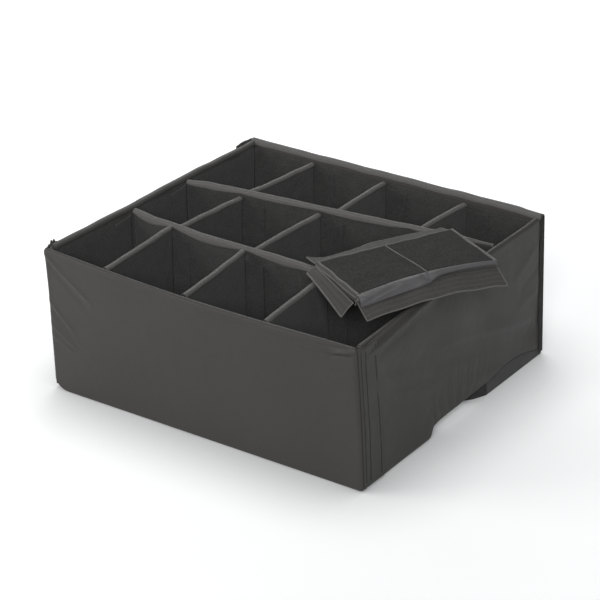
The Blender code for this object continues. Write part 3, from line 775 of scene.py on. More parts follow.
class DIVIDER_OT_walls(bpy.types.Operator):
    """Build the four quilted wall panels with their linings, rim tapes and a dark foot strip of painted shade
    """
    bl_idname = "divider_set.walls"
    bl_label = "Wall Panels"

    def execute(self, context):
        sizes = context.scene.pad_sizes
        for side in WALLS:
            wall = Wall(side)
            shape = SHAPES[side](wall, sizes)
            cover = build_cover(wall, shape, sizes)
            build_lining(wall, shape, sizes)
        self.build_foot_shade_strip()
        self.build_rims()
        return {"FINISHED"}

    def build_rims(self):
        """Tape folded over the back and left rims: a binding whose lighter colour is also painted highlight
        along the rims. The back rim stands higher at its right end.
        """
        left_x, front_y, _ = RING_LOW
        right_x, back_y, height = RING_HIGH

        def back_top(along):
            return height + 1.2 * MM + 2.4 * MM * smooth(along / (50 * MM)) * (1 - along / (1200 * MM))

        hems = (level(1.5 * MM), level(1.5 * MM))
        back = Plan((right_x - 1 * MM, back_y - 4.2 * MM), (left_x + 1 * MM, back_y - 4.2 * MM))
        left = Plan((left_x + 5.4 * MM, back_y - 6 * MM), (left_x + 5.4 * MM, front_y + 19 * MM))
        # The tapes are lighter than the walls' nylon: partly a binding, partly painted highlight along the
        # rims
        for name, plan, top, thickness, material in (
            ("back_rim", back, back_top, BACK_RIM_BOUND, "nylon_tape"),
            ("left_rim", left, level(height + 1 * MM), LEFT_RIM_BOUND, "nylon_lip"),
        ):
            band = top_binding(name, plan, top, thickness, hems, 151, material, columns=220)
            belong(band, "insert")

    def build_foot_shade_strip(self):
        """A dark loop-faced strip under the right wall's lifted edge, from the notch to the far corner:
        painted shade where the wall's foot curls under.

        It runs from just above its line down to the floor and bellies with a sine. Where the wall's
        edge stands free, a cord hems it.
        """
        y = np.linspace(*STRIP_ENDS, 150)[:, None]
        down = np.linspace(0, 1, 16)[None]
        line, x = (np.interp(y, *(np.array(table).T * MM)) for table in (STRIP_LINE, STRIP_OUT))
        drop = down * 20 * MM
        x = x + ripples(y, drop, 141, 50 * MM, 0.5 * MM) * np.sin(math.pi * down) + 0.8 * MM * down
        z = line + 3 * MM - (line + 2.2 * MM) * down
        points = settled(np.stack(np.broadcast_arrays(x, y, z), -1))
        uv = np.stack(np.broadcast_arrays(y, drop), -1)
        normals = surface_normals(points)
        # The near part is in the duller loop_face, which renders darker: deeper painted shade at the notch's
        # far end
        for name, part, material in (
            ("near", slice(0, 29), "loop_face"), ("far", slice(28, None), "loop_fabric"),
        ):
            strip = thin_sheet(
                f"foot_shade_strip_{name}", points[part], STRIP_CLOTH, material, uv[part], normals[part])
            belong(strip, "insert")
        free = slice(36, None)
        y, line = y[free, 0], line[free, 0]
        hem = np.stack([0 * y + RING_HIGH[0] + 0.1 * MM, y, line + 1.6 * MM], -1)
        belong(cord("foot_hem", settled(hem), 0.8 * MM, "nylon_lip"), "insert")


# Base pad

# The recess behind the notch: its two ends along Y, and its depth in from the pad's right edge
RECESS_ENDS = (-82 * MM, 124 * MM)
RECESS_DEPTH = 26 * MM


class DIVIDER_OT_base_pad(bpy.types.Operator):
    """Build the loop-faced pad that lies under the dividers"""
    bl_idname = "divider_set.base_pad"
    bl_label = "Base Pad"

    def execute(self, context):
        """A slab with a flat underside, its top rounded off towards all four edges.

        Its right edge is drawn in at the recess, and a little less behind it to the far corner.
        """
        low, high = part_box("base_pad_cover")
        y = np.linspace(low.y, high.y, 160)[:, None]
        near, far = RECESS_ENDS
        recess = smooth((y - near + 2 * MM) / (4 * MM)) * smooth((far + 2 * MM - y) / (4 * MM))
        behind = smooth((y - 100 * MM) / (20 * MM)) * smooth((286 * MM - y) / (10 * MM))
        right = high.x - 0.5 * MM - RECESS_DEPTH * recess - 4.5 * MM * behind
        across = np.linspace(0, 1, 30)[None]
        x = low.x + (right - low.x) * across

        edge_round = 3 * MM
        edge_height = 1 * MM

        def rounded(inwards):
            """A quarter circle that rises from an edge."""
            return np.sqrt(1 - (1 - np.clip(inwards / edge_round, 0, 1)) ** 2)

        from_side = np.minimum(x - low.x, right - x)
        from_end = np.minimum(y - low.y, high.y - y)
        crown = np.minimum(rounded(from_side), rounded(from_end))
        z = low.z + edge_height + (high.z - low.z - edge_height) * crown
        under, over = (np.stack(np.broadcast_arrays(x, y, height), -1) for height in (low.z, z))
        points = np.concatenate([under, over[:, ::-1]], axis=1)
        pad = grid_object("base_pad", settled(points), points[..., :2], "loop_fabric")
        belong(pad, "insert", ("base_pad_cover", "base_pad_foam"))
        return {"FINISHED"}


# Dividers

class Plan:
    """A line in plan through control points, its bends eased: places and left-hand sides along it."""

    def __init__(self, *corners):
        corners = np.array(corners, float)
        travel = travelled(corners)
        share = np.linspace(0, 1, 241)
        line = np.stack([np.interp(share, travel / travel[-1], corners[:, axis]) for axis in (0, 1)], -1)
        if len(corners) > 2:
            bell = np.exp(-np.linspace(-2, 2, 41) ** 2)
            wide = np.concatenate([line[:1] * 2 - line[20:0:-1], line, line[-1:] * 2 - line[-2:-22:-1]])
            line = np.stack([np.convolve(wide[:, axis], bell / bell.sum(), "valid") for axis in (0, 1)], -1)
        self.line = line
        self.travel = travelled(line)
        self.length = float(self.travel[-1])
        heading = np.gradient(line, axis=0)
        heading /= np.linalg.norm(heading, axis=1, keepdims=True)
        self.side = np.stack([-heading[:, 1], heading[:, 0]], -1)

    def place(self, along, through, up):
        """Settled places at a distance along the line, to its left and up."""
        along, through, up = np.broadcast_arrays(along, through, up)
        spot = [np.interp(along, self.travel, self.line[:, axis]) for axis in (0, 1)]
        left = [np.interp(along, self.travel, self.side[:, axis]) for axis in (0, 1)]
        return settled(np.stack([spot[0] + left[0] * through, spot[1] + left[1] * through, up], -1))


def bowed(bow, along, up, plan):
    """A divider's sideways bow: a sine along it that grows with the height, full at 250 mm."""
    return bow * np.sin(math.pi * along / plan.length) * up / (250 * MM)


def divider_pad(name, plan, foot, top, thickness, rounding, columns, rows, seed, bow=0.0):
    """A foam pad in loop cloth along a line in plan: a rounded slab with soft faces."""
    along, through, up, facing = pad_grid(plan.length, thickness, level(foot), top, rounding, columns, rows)
    swell = ripples(along, up, seed, 90 * MM, 0.35 * MM) * facing
    points = plan.place(along, through - thickness / 2 + swell + bowed(bow, along, up, plan), up)
    return grid_object(name, points, ring_uv(along, through, up), "loop_fabric")


def top_binding(name, plan, top, thickness, hems, seed, material, columns, bow=0.0, taper=0.0):
    """Binding folded over a pad's top edge: a flattened arch of tape with a hem down each face.

    The arch is half an ellipse over the pad's thickness. Each hem's depth is a function of the
    distance along the pad: hems gives the one on the right-hand face and the one on the left.
    A taper draws the tape in by its share over its last 80 mm, and down at both ends.
    """
    along = np.linspace(0.3 * MM, plan.length - 0.3 * MM, columns)[:, None]
    reach = thickness / 2
    # Six rows run up one face, thirteen over the arch and six down the other face
    arc = np.linspace(0, math.pi, 13)
    face = np.zeros(6)
    side = np.concatenate([face - 1, -np.cos(arc), face + 1])[None]
    right = np.concatenate([np.linspace(1, 0, 7)[:-1], 0 * arc, face])[None]
    left = right[:, ::-1]
    wander = ripples(along, 0 * along, seed, 100 * MM, 0.5 * MM)
    fall = right * (hems[0](along) + wander) + left * (hems[1](along) - wander)
    crown = reach * 0.8
    lift = np.concatenate([face, np.sin(arc), face])[None] * crown
    up = top(along) - crown + lift - fall + ripples(along, 0 * along, seed + 1, 70 * MM, 0.35 * MM)
    puff = 0.9 * MM * np.sin(math.pi * np.clip(right + left, 0, 1)) * np.minimum(fall / (5 * MM), 1)
    lean = bowed(bow, along, up, plan)
    drawn = taper * smooth((along - plan.length + 80 * MM) / (70 * MM))
    up = up - 6 * MM * drawn - 11 * MM * taper * smooth((45 * MM - along) / (40 * MM))
    points = plan.place(along, side * (reach + puff) * (1 - drawn) + lean, up)
    around = np.concatenate([[0], np.cumsum(np.abs(np.diff(side[0])) * reach + np.abs(np.diff(up[0])))])
    uv = np.stack(np.broadcast_arrays(along, around[None]), -1)
    return thin_sheet(name, points, BINDING_TAPE, material, uv)


def cord(name, path, radius, material, flat=1.0):
    """A tube along a path: circles, or ellipses of a flatness, square to it, with closed ends."""
    path = np.asarray(path, float)
    ahead = np.gradient(path, axis=0)
    ahead /= np.linalg.norm(ahead, axis=1, keepdims=True)
    # A direction that no cord runs along
    guide = np.array([0.31, -0.44, 0.84])
    side = np.cross(ahead, guide)
    side /= np.linalg.norm(side, axis=1, keepdims=True)
    rise = np.cross(side, ahead)
    turn = np.arange(10) * math.pi / 5
    offset = np.cos(turn)[None, :, None] * side[:, None] + flat * np.sin(turn)[None, :, None] * rise[:, None]
    uv = np.stack(np.broadcast_arrays(travelled(path)[:, None], (turn * radius)[None]), -1)
    return grid_object(name, path[:, None] + radius * offset, uv, material)


def upright_flap(name, root, heading, width, top, low, thickness, seed, material, wave=0.4 * MM):
    """A hook flap standing on edge from its hinge: a tape with a slight wave.

    Its width is a function of the height, and its top a function of the share of the width.
    Columns run outwards from the hinge and rows from the foot to the top. The points of its
    middle surface are handed back too, for what is sewn on it.
    """
    heading = np.array(heading, float)
    side = np.array([-heading[1], heading[0]])
    share = np.linspace(0, 1, 30)[:, None]
    rise = np.linspace(0, 1, 70)[None]
    height = low + (top(share) - low) * rise
    out = share * width(height)
    lift = ripples(out, height, seed, 90 * MM, wave) * smooth(out / (10 * MM))
    flat = np.array(root, float) + out[..., None] * heading + lift[..., None] * side
    points = settled(np.concatenate([flat, height[..., None]], -1))
    return thin_sheet(name, points, thickness, material, np.stack([height, out], -1)), points


def flap_stitches(node, points, outward, shares, length):
    """Rows of stitches up a corner flap at shares of its width, on the side that faces outward.

    On the front right flap each row lies in a groove, whose shade is painted as a flat near-black cord under
    the stitches.
    """
    normals = surface_normals(points, np.array([*outward, 0.0]))
    for count, share in enumerate(shares, 1):
        column = int(round(share * (points.shape[0] - 1)))
        normal = normals[column, 2:-2]
        path = points[column, 2:-2] + normal * CORNER_STITCH_LIFT
        row = stitch_row(f"{node}_stitches_{count}", path, normal[len(normal) // 2], length, "black_thread_and_groove_shade")
        belong(row, node)
        if node.startswith("front_right"):
            # Painted shade of the stitched groove: a flattened near-black cord just under the stitches
            groove = path - 0.1 * MM * normal
            row = cord(f"{node}_stitches_groove_shade_{count}", groove, 0.9 * MM, "black_thread_and_groove_shade", 0.5)
            belong(row, node)


# The long dividers' lines in plan, and the places along X where the short dividers meet them, in mm
FRONT_CORNERS = ((-279, -78), (-234.5, -86), (-103, -94.5), (20, -91.5), (120, -94), (285.4, -96))
REAR_CORNERS = ((-285.4, 76.8), (285.4, 145.2))
FRONT_JOINTS = (-286, -198, -45, 115, 286)
REAR_JOINTS = (-286, -180, -30, 140, 286)


def lens_hem(joints, deep, plain):
    """Depth of a hem that bellies out between the dividers: sine arches between their places."""
    joints = (np.array(joints) - joints[0]) * MM

    def hem(along):
        """The plain depth, and more by a sharpened sine over the share of the way between two."""
        place = np.clip(np.searchsorted(joints, along) - 1, 0, len(joints) - 2)
        share = (along - joints[place]) / (joints[place + 1] - joints[place])
        return plain + deep * np.clip(np.sin(math.pi * np.clip(share, 0, 1) ** 0.85), 0, 1) ** 1.2

    return hem


def cut_top(top):
    """A flap's top, a little below the rim and falling slightly away from its hinge."""
    return lambda share: top - 6 * MM - 4 * MM * share


class DIVIDER_OT_long_dividers(bpy.types.Operator):
    """Build the two long dividers with their bindings and end flaps"""
    bl_idname = "divider_set.long_dividers"
    bl_label = "Long Dividers"

    def execute(self, context):
        sizes = context.scene.pad_sizes
        front_hem = lens_hem(FRONT_JOINTS, 8 * MM, 1.5 * MM)
        rear_hem = lens_hem(REAR_JOINTS, 5 * MM, 2 * MM)
        self.build("front_long_divider", FRONT_CORNERS, sizes, 50, front_hem, 0.0)
        self.build("rear_long_divider", REAR_CORNERS, sizes, 60, rear_hem, 0.45)
        return {"FINISHED"}

    def build(self, name, corners, sizes, seed, hem, taper):
        """A pad along its line in plan, its binding with one bellied hem, and a flap at each end."""
        plan = Plan(*np.array(corners) * MM)
        low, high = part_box(f"{name}_sleeve")
        pad = divider_pad(
            f"{name}_pad", plan, low.z, level(high.z - 2.0 * MM), LONG_PAD, sizes.divider_round,
            240, 60, seed)
        belong(pad, "insert", (f"{name}_sleeve", f"{name}_core"))
        band = top_binding(
            f"{name}_binding", plan, level(high.z + 2.4 * MM), LONG_BOUND, (hem, level(3 * MM)), seed + 2,
            "nylon_tape", 300, taper=taper)
        belong(band, "insert")
        for side, sign in (("left", -1), ("right", 1)):
            node = f"{name}_{side}_flap"
            flap_low, flap_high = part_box(node)
            root = ((flap_low.x + flap_high.x) / 2, flap_low.y + 1 * MM if sign > 0 else flap_high.y - 1 * MM)
            width = level(flap_high.y - flap_low.y - 1 * MM)
            flap, _ = upright_flap(
                f"{name}_{side}_hook", root, (0, sign), width, cut_top(flap_high.z), flap_low.z, HOOK_TAPE,
                seed + 5, "loop_fabric")
            belong(flap, node, (node,))


def divider_ends(name):
    """Plan places of a short divider's two ends, from its sleeve's corners."""
    places = np.array([vertex.co for vertex in frame["nodes"][f"{name}_sleeve"].data.vertices])
    near, far = places[:, 1].min(), places[:, 1].max()
    near_x = places[places[:, 1] < near + 4 * MM, 0]
    far_x = places[places[:, 1] > far - 4 * MM, 0]
    return ((near_x.min() + near_x.max()) / 2, near), ((far_x.min() + far_x.max()) / 2, far)


# How a row's dividers stand against their solids, in mm: the near end's and the far end's top
# above it, and the near end's and the far end's shift along X
STANDS = {"front": (1, 8.5, 3, 7), "middle": (1, 0, 2, 1), "back": (1, 1, 0, 0)}


class DIVIDER_OT_short_dividers(bpy.types.Operator):
    """Build the eight short dividers with their edging and end flaps"""
    bl_idname = "divider_set.short_dividers"
    bl_label = "Short Dividers"

    def execute(self, context):
        sizes = context.scene.pad_sizes
        for seed, name in enumerate(SHORT_DIVIDERS, 70):
            self.build(name, sizes, seed)
        return {"FINISHED"}

    def build(self, name, sizes, seed):
        """A pad, its binding and a flap at each end. A flap slants where its neighbour stands askew."""
        row = name.split("_")[0]
        near_lift, far_lift, near_shift, far_shift = (shift * MM for shift in STANDS[row])
        (near_x, near_y), (far_x, far_y) = divider_ends(name)
        near_x, far_x = near_x + near_shift, far_x + far_shift
        plan = Plan((near_x, near_y + 0.8 * MM), (far_x, far_y - 0.8 * MM))
        low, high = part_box(f"{name}_sleeve")

        def raised(extra):
            """A top so far above the solid's, rising or falling from the near end to the far one."""
            return lambda along: high.z + extra + near_lift + (far_lift - near_lift) * along / plan.length

        bow = np.random.default_rng(seed).uniform(-2.2, 2.2) * MM
        pad = divider_pad(
            f"{name}_pad", plan, low.z, raised(-0.6 * MM), SHORT_PAD, sizes.divider_round, 70, 60, seed, bow)
        belong(pad, name, (f"{name}_sleeve", f"{name}_core"))
        band = top_binding(
            f"{name}_binding", plan, raised(1.1 * MM), SHORT_BOUND, (level(1.0 * MM), level(1.6 * MM)),
            seed + 1, "nylon_tape", 80, bow)
        belong(band, name, (f"{name}_edging",))
        edge_low, edge_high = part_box(f"{name}_edging")
        for label, x, y, sign, width, askew in (
            ("near", near_x, near_y, -1, near_x - edge_low.x, "back"),
            ("far", far_x, far_y, 1, edge_high.x - far_x, "middle"),
        ):
            slope = 0.14 if row == askew else 0.02
            flap, _ = upright_flap(
                f"{name}_{label}_hook", (x - sign * 4 * MM, y + sign * 0.9 * MM), (sign, sign * slope),
                level(width + 3 * MM), cut_top(edge_high.z - 3.2 * MM), low.z, SHORT_HOOK_TAPE, seed + 3,
                "loop_fabric", wave=0.1 * MM)
            belong(flap, name)


# Corner flaps

# Each corner flap's cloth, the way it faces, how far its hinge edge is held back, and where its
# rows of stitches run, in shares of its width
CORNER_FLAPS = {
    "front_right_corner_flap": ("nylon_cover", (1, 0), 0.0, (0.09, 0.36, 0.9)),
    "back_right_corner_flap": ("hook_tape", (0, 1), 0.0, (0.08, 0.92)),
    "back_left_corner_flap": ("hook_tape", (-1, 0), 0.0, (0.08, 0.92)),
    "front_left_corner_flap": ("hook_tape", (-1, 0), 3.5 * MM, (0.12, 0.92)),
}


class DIVIDER_OT_corner_flaps(bpy.types.Operator):
    """Build the flaps that close the corners of the ring, with their stitching"""
    bl_idname = "divider_set.corner_flaps"
    bl_label = "Corner Flaps"

    def execute(self, context):
        sizes = context.scene.pad_sizes
        for seed, (node, (material, outward, start, rows)) in enumerate(CORNER_FLAPS.items(), 90):
            points = self.build_flap(node, material, start, seed)
            flap_stitches(node, points, outward, rows, sizes.stitch)
        self.build_back_hem()
        return {"FINISHED"}

    def build_flap(self, node, material, start, seed):
        """A flap from its hinge to its solid's far end, its edges cut a little wavy.

        The front right one is slanted by 8 mm over its height, and the front left one's top has a
        frayed hump.
        """
        low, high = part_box(node)
        joint = next(entry for entry in frame["joints"] if entry["child"] == node)
        hinge = np.array(joint["pos_m"][:2])
        middle = np.array([(low.x + high.x) / 2, (low.y + high.y) / 2])
        size = np.array([high.x - low.x, high.y - low.y])
        axis = int(np.argmax(size))
        heading = np.zeros(2)
        heading[axis] = math.copysign(1, middle[axis] - hinge[axis])
        full = size[axis] - 1 * MM - start
        slant = 8 * MM if node.startswith("front_right") else 0

        def width(height):
            return full - slant * height / high.z + 0.6 * MM * np.sin(height / (19 * MM))

        def top(share):
            if node.startswith("front_left"):
                hump = np.exp(-(((share - 0.42) / 0.22) ** 2)) * (1 + 0.35 * np.sin(share * 40))
                return high.z - 7 * MM + 8 * MM * hump
            return high.z + 0.9 * MM * np.sin(share * 7 + seed)

        flap, points = upright_flap(
            f"{node}_tape", hinge + start * heading, heading, width, top, low.z, CORNER_TAPE, seed, material,
            wave=0.5 * MM)
        belong(flap, node, (node,))
        return points

    def build_back_hem(self):
        """The tape that turns the back right corner: up the right wall's far edge and round it.

        In plan it is a straight run and a quarter circle. Its near edge waves with the height.
        """
        radius = 5.6 * MM
        centre = RING_HIGH[:2] - (4.5 * MM, 4.4 * MM)
        turn = np.linspace(0, math.pi / 2, 9)[1:]
        straight = np.linspace(RING_HIGH[1] - 15.5 * MM, centre[1], 10)
        x = np.concatenate([0 * straight + centre[0] + radius, centre[0] + radius * np.cos(turn)])[:, None]
        y = np.concatenate([straight, centre[1] + radius * np.sin(turn)])[:, None]
        up = np.linspace(7 * MM, RING_HIGH[2] - 4 * MM, 90)[None]
        edge = smooth((centre[1] - y) / (11 * MM))
        y = y + edge * (1.6 * MM * np.sin(up / (17 * MM)) + 1.1 * MM * np.sin(up / (7.3 * MM) + 1))
        x = x + edge * 0.5 * MM * np.sin(up / (11 * MM)) + 0.4 * MM
        points = settled(np.stack(np.broadcast_arrays(x, y, up), -1))
        uv = np.stack(np.broadcast_arrays(up, y), -1)
        hem = thin_sheet("back_right_hem", points, HEM_TAPE, "loop_face", uv)
        belong(hem, "insert")


# Loose divider

class LooseFrame:
    """The loose divider's own frame, from its fold seam and its front flap's hinge."""

    def __init__(self, sizes):
        joints = {joint["name"]: joint for joint in frame["joints"]}
        fold = joints["loose_divider_fold"]
        self.origin = np.array(fold["pos_m"], float)
        self.y = -np.array(fold["axis"], float)
        self.x = np.array(joints["loose_divider_front_flap_left_hinge"]["axis"], float)
        self.z = np.cross(self.x, self.y)
        self.turn = np.stack([self.x, self.y, self.z])
        self.arch = sizes.loose_arch
        left_low, left_high = self.local_box("loose_divider_left_sleeve")
        self.end = self.local_box("loose_divider_right_sleeve")[1][0]
        self.side = left_high[1]
        self.depth = -left_low[2]

    def local_box(self, node):
        """The lowest and the highest corner of a solid in this frame."""
        points = np.array([vertex.co for vertex in frame["nodes"][node].data.vertices])
        local = (points - self.origin) @ self.turn.T
        return local.min(0), local.max(0)

    def place(self, x, y, z):
        """Places on the divider, raised as its front edge arches over the seam and dips at its ends."""
        x, y, z = np.broadcast_arrays(x, y, z)
        front = smooth((self.side - y) / (2 * self.side))
        lifted = z + self.arch * front * (1 - (x / self.end) ** 2)
        return self.origin + x[..., None] * self.x + y[..., None] * self.y + lifted[..., None] * self.z


def build_loose_half(loose, side, sign):
    """Half of the loose divider: a pad in nylon with a stretched face of loop cloth."""
    body = f"loose_divider_{side}"
    length = loose.end - 0.2 * MM
    width = 2 * loose.side
    along, through, up, facing = pad_grid(width, loose.depth, level(0), level(length), 3 * MM, 70, 90)
    inner = smooth(up / (7 * MM)) * smooth((length - up) / (9 * MM))
    x = sign * (0.2 * MM + up)
    y = loose.side - along
    z = through - loose.depth + np.clip(facing, 0, 1) * inner * 0.7 * MM
    pad = grid_object(f"loose_{side}_pad", loose.place(x, y, z), np.stack([along, up], -1), "nylon_lip")
    belong(pad, body, (f"{body}_sleeve", f"{body}_core"))

    rim = 6 * MM if side == "left" else 3.5 * MM
    middle_y = 0.2 * MM
    size = (length - rim - 0.3 * MM, width - 5.5 * MM)
    x = sign * (0.3 * MM + size[0] * np.linspace(0, 1, 90)[:, None])
    y = middle_y + size[1] * (np.linspace(0, 1, 110)[None] - 0.5)
    edge = np.minimum(length - rim - np.abs(x), size[1] / 2 - np.abs(y - middle_y))
    z = 0.6 * MM * smooth(edge / (4 * MM)) + 0.9 * MM + ripples(x, y, 103, 60 * MM, 0.3 * MM)
    uv = np.stack(np.broadcast_arrays(x, y), -1)
    face = thin_sheet(f"loose_{side}_face", loose.place(x, y, z), FACE_CLOTH, "loop_face", uv)
    belong(face, body)


# The roll's way round, against which its folds are set, and how far it falls at places along it
# in mm: full at the left, and drawn up at the right
ROLL_ROUND = 30 * MM
ROLL_PLACES = (-121, -100, -60, -15, 0, 12, 30, 60, 121)
ROLL_FALL = (0.92, 1, 1, 0.9, 0.75, 0.38, 0.06, -0.08, -0.18)
# Its folds: start and end in mm along it and in shares of the way round, width in such shares
# and depth in mm
ROLL_FOLDS = (
    ((-108, 0.72), (-52, 0.32), 0.10, -2.4), ((-112, 0.92), (-45, 0.52), 0.10, 1.9),
    ((-75, 0.2), (-12, 0.3), 0.12, 1.1), ((-12, 0.2), (4, 0.8), 0.16, -2.0),
    ((6, 0.25), (22, 0.9), 0.16, 1.3), ((-20, 0.85), (20, 0.75), 0.10, 1.4),
    ((-117, 0.3), (-104, 0.75), 0.2, 1.6),
)


def build_roll(loose, side, span):
    """The puffed nylon that rolls from the pad's front edge down to the flap, full of folds, lighter and
    bluer than the pad's nylon as painted highlight along the edge.

    Across, it follows a curve through four points by their Bernstein weights; along, the lower
    points draw back from the left end to the right one.
    """
    x = np.linspace(*span, 120)[:, None]
    fall = np.interp(x, np.array(ROLL_PLACES) * MM, ROLL_FALL)
    t = np.linspace(0, 1, 22)[None]
    weights = ((1 - t) ** 3, 3 * t * (1 - t) ** 2, 3 * t * t * (1 - t), t ** 3)
    ys = (-77.5, -81 - 8 * fall, -86 - 7 * fall, -82.3 - 12.5 * fall)
    zs = (0.9, 2.6 + 0 * fall, -4 - 3 * fall, -6.2 - 8.2 * fall)
    y, z = (sum(weight * place * MM for weight, place in zip(weights, row)) for row in (ys, zs))
    round_it = t * ROLL_ROUND
    puff = ripples(x, round_it, 101, 35 * MM, 0.75 * MM) * fall
    for (x0, t0), (x1, t1), width, deep in ROLL_FOLDS:
        start, end = (x0 * MM, t0 * ROLL_ROUND), (x1 * MM, t1 * ROLL_ROUND)
        puff = puff + crease(x, round_it, start, end, width * ROLL_ROUND, deep * MM)
    out = puff * np.sin(math.pi * np.clip(t, 0.02, 0.98)) ** 0.6 * 0.7
    uv = np.stack(np.broadcast_arrays(x, round_it), -1)
    roll = thin_sheet(f"loose_{side}_roll", loose.place(x, y - out, z + out), ROLL_CLOTH, "highlit_nylon_roll", uv)
    start, end = (tuple(loose.place(0, y, z)) for y, z in ((-80 * MM, -3 * MM), (-93.5 * MM, -12 * MM)))
    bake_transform(roll)


# Droop of the back flap, in degrees, at places along the divider in mm
BACK_DROOP = (
    (-121, 3), (-105, 10), (-90, 14), (-60, 13.5), (-45, 12.5), (-30, 10), (-15, 7), (0, 7),
    (20, 9), (40, 8.5), (65, 9), (90, 11.5), (105, 13), (121, 11),
)


def sew_along(name, node, middle, up, columns, length):
    """Rows of stitches along a flap, on its upper side, at some of its columns."""
    for count, column in enumerate(columns, 1):
        path = middle[1:-1, column] + up[1:-1, column] * STITCH_LIFT
        belong(stitch_row(f"{name}_stitches_{count}", path, up[5, 5], length), node)


def loose_strip(loose, name, node, span, root, outward, droop, seed, sizes):
    """A flap along a long edge: hook tape from its hinge line outwards, corded at its free edges.

    The droop below the divider's own plane is a table of degrees at places along it.
    """
    x = np.linspace(*span, 80)[:, None]
    out = np.linspace(0, 39 * MM, 22)[None]
    places, angles = np.array(droop, float).T
    angle = np.radians(np.interp(x, places * MM, angles))
    wave = ripples(x, out, seed, 70 * MM, 0.5 * MM) * smooth(out / (10 * MM))
    middle = loose.place(
        x, root[0] + outward * out * np.cos(angle), root[1] - out * np.sin(angle) + wave)
    uv = np.stack(np.broadcast_arrays(x, out), -1)
    strip = thin_sheet(name, middle, HOOK_TAPE, "hook_tape" if outward < 0 else "loop_fabric", uv)
    belong(strip, node, (node,))
    up = surface_normals(middle, loose.z)
    raised = middle + up * 0.5 * MM
    for label, path in (("edge", raised[:, -1]), ("end", raised[-1])):
        belong(cord(f"{name}_{label}", path, 1.15 * MM, "piping", 0.8), node)
    sew_along(name, node, middle, up, (19,), sizes.stitch)


class DIVIDER_OT_loose_divider(bpy.types.Operator):
    """Build the spare divider that lies across the front divider and the right rim"""
    bl_idname = "divider_set.loose_divider"
    bl_label = "Loose Divider"

    def execute(self, context):
        sizes = context.scene.pad_sizes
        loose = LooseFrame(sizes)
        roll_spans = {"left": (-loose.end + 2.5 * MM, -0.1 * MM), "right": (0.1 * MM, loose.end - 1 * MM)}
        for side, sign in (("left", -1), ("right", 1)):
            build_loose_half(loose, side, sign)
            build_roll(loose, side, roll_spans[side])
            span = (sign * 0.1 * MM, sign * (loose.end - 1.5 * MM))
            node = f"loose_divider_front_flap_{side}"
            low, high = loose.local_box(node)
            droop = math.degrees(math.atan2(high[2] - low[2], high[1] - low[1]))
            root = (-loose.side - 1.3 * MM, high[2] - 1.2 * MM)
            loose_strip(loose, f"loose_front_hook_{side}", node, span, root, -1, ((0, droop),), 111, sizes)
            node = f"loose_divider_back_flap_{side}"
            low, high = loose.local_box(node)
            root = (loose.side + 0.6 * MM, (low[2] + high[2]) / 2)
            loose_strip(loose, f"loose_back_hook_{side}", node, span, root, 1, BACK_DROOP, 113, sizes)
        self.build_tab(loose, sizes)
        self.build_seams(loose)
        return {"FINISHED"}

    def build_tab(self, loose, sizes):
        """The hook tab at the left end: it hangs from the end's edge, lower at its near end.

        Its root and tip are lines in mm from their near to their far ends, the tip's height a
        power curve, and the tab is ruled between them with a slight swell.
        """
        node = "loose_divider_tab"
        far, out = np.linspace(0, 1, 70)[:, None], np.linspace(0, 1, 20)[None]
        root = [near + (end - near) * far for near, end in ((-122.6, -122.4), (-74, 73), (-11.5, -3.4))]
        tip = [near + (end - near) * far for near, end in ((-143.4, -143), (-70.5, 64))]
        tip.append(-7 - 21 * (1 - far) ** 1.3)
        x, y, z = ((a + (b - a) * out) * MM for a, b in zip(root, tip))
        z = z + 1.6 * MM * np.sin(math.pi * out) + ripples(y, out * 30 * MM, 121, 60 * MM, 0.3 * MM)
        middle = loose.place(x, y, z)
        uv = np.stack(np.broadcast_arrays(y, out * 26 * MM), -1)
        tab = thin_sheet("loose_tab", middle, HOOK_TAPE, "hook_tape", uv)
        belong(tab, node, (node,))
        up = surface_normals(middle, loose.z)
        raised = middle + up * 0.6 * MM
        for label, path, radius in (
            ("edge", raised[:, -1], 1.9), ("near_end", raised[0], 1.0),
            ("far_end", raised[-1], 1.0), ("root", raised[:, 1], 1.3),
        ):
            belong(cord(f"loose_tab_{label}", path, radius * MM, "piping", 0.75), node)
        sew_along("loose_tab", node, middle, up, (4, 16), sizes.stitch)

    def build_seams(self, loose):
        """The stitched fold seam, the bound edges and the puckered corner, as cords over the edges."""
        share = np.linspace(-1, 1, 100)
        y = share * (loose.side - 1.5 * MM)
        sway = ripples(y, 0 * y, 131, 50 * MM, 0.2 * MM)
        end = loose.end
        reach = (share * 0.5 + 0.5) * (end - 2 * MM) + 0.5 * MM
        back = loose.side - 0.6 * MM
        lines = (
            ("loose_fold_seam", "right", 0.9 * MM + 0.5 * sway, y, 1.9 * MM, 1.2, 0.8),
            ("loose_right_binding", "right", end - 1.6 * MM, y, 0.4 * MM, 2.9, 0.75),
            ("loose_left_ridge", "left", -end + 5.5 * MM + sway, y, 0.7 * MM + sway, 2.3, 0.7),
            ("loose_left_edge", "left", -end + 0.6 * MM - sway, y, -2.6 * MM, 1.5, 0.8),
            ("loose_back_binding_right", "right", reach, back + 4 * sway, 0.9 * MM, 1.3, 0.8),
            ("loose_back_binding_left", "left", -reach, back + 3 * sway, 0.9 * MM, 1.5, 0.8),
        )
        for name, side, x, across, z, radius, flat in lines:
            band = cord(name, loose.place(x, across, z), radius * MM, "piping", flat)
            belong(band, f"loose_divider_{side}")
        turn = np.linspace(0, 1, 60)
        for count, (size, lift, phase) in enumerate(((3.4, -3, 0), (2.6, -7, 2), (3.0, -10, 4)), 1):
            x = -end + (2.2 + size * np.sin(5 * turn + phase)) * MM
            across = -loose.side + (1.5 - 5 * turn + size * 0.5 * np.cos(9 * turn + phase)) * MM
            z = (lift + 3.5 * np.sin(6 * turn + phase)) * MM
            pucker = cord(f"loose_pucker_{count}", loose.place(x, across, z), 1.1 * MM, "piping", 0.7)
            belong(pucker, "loose_divider_left")


# Stage

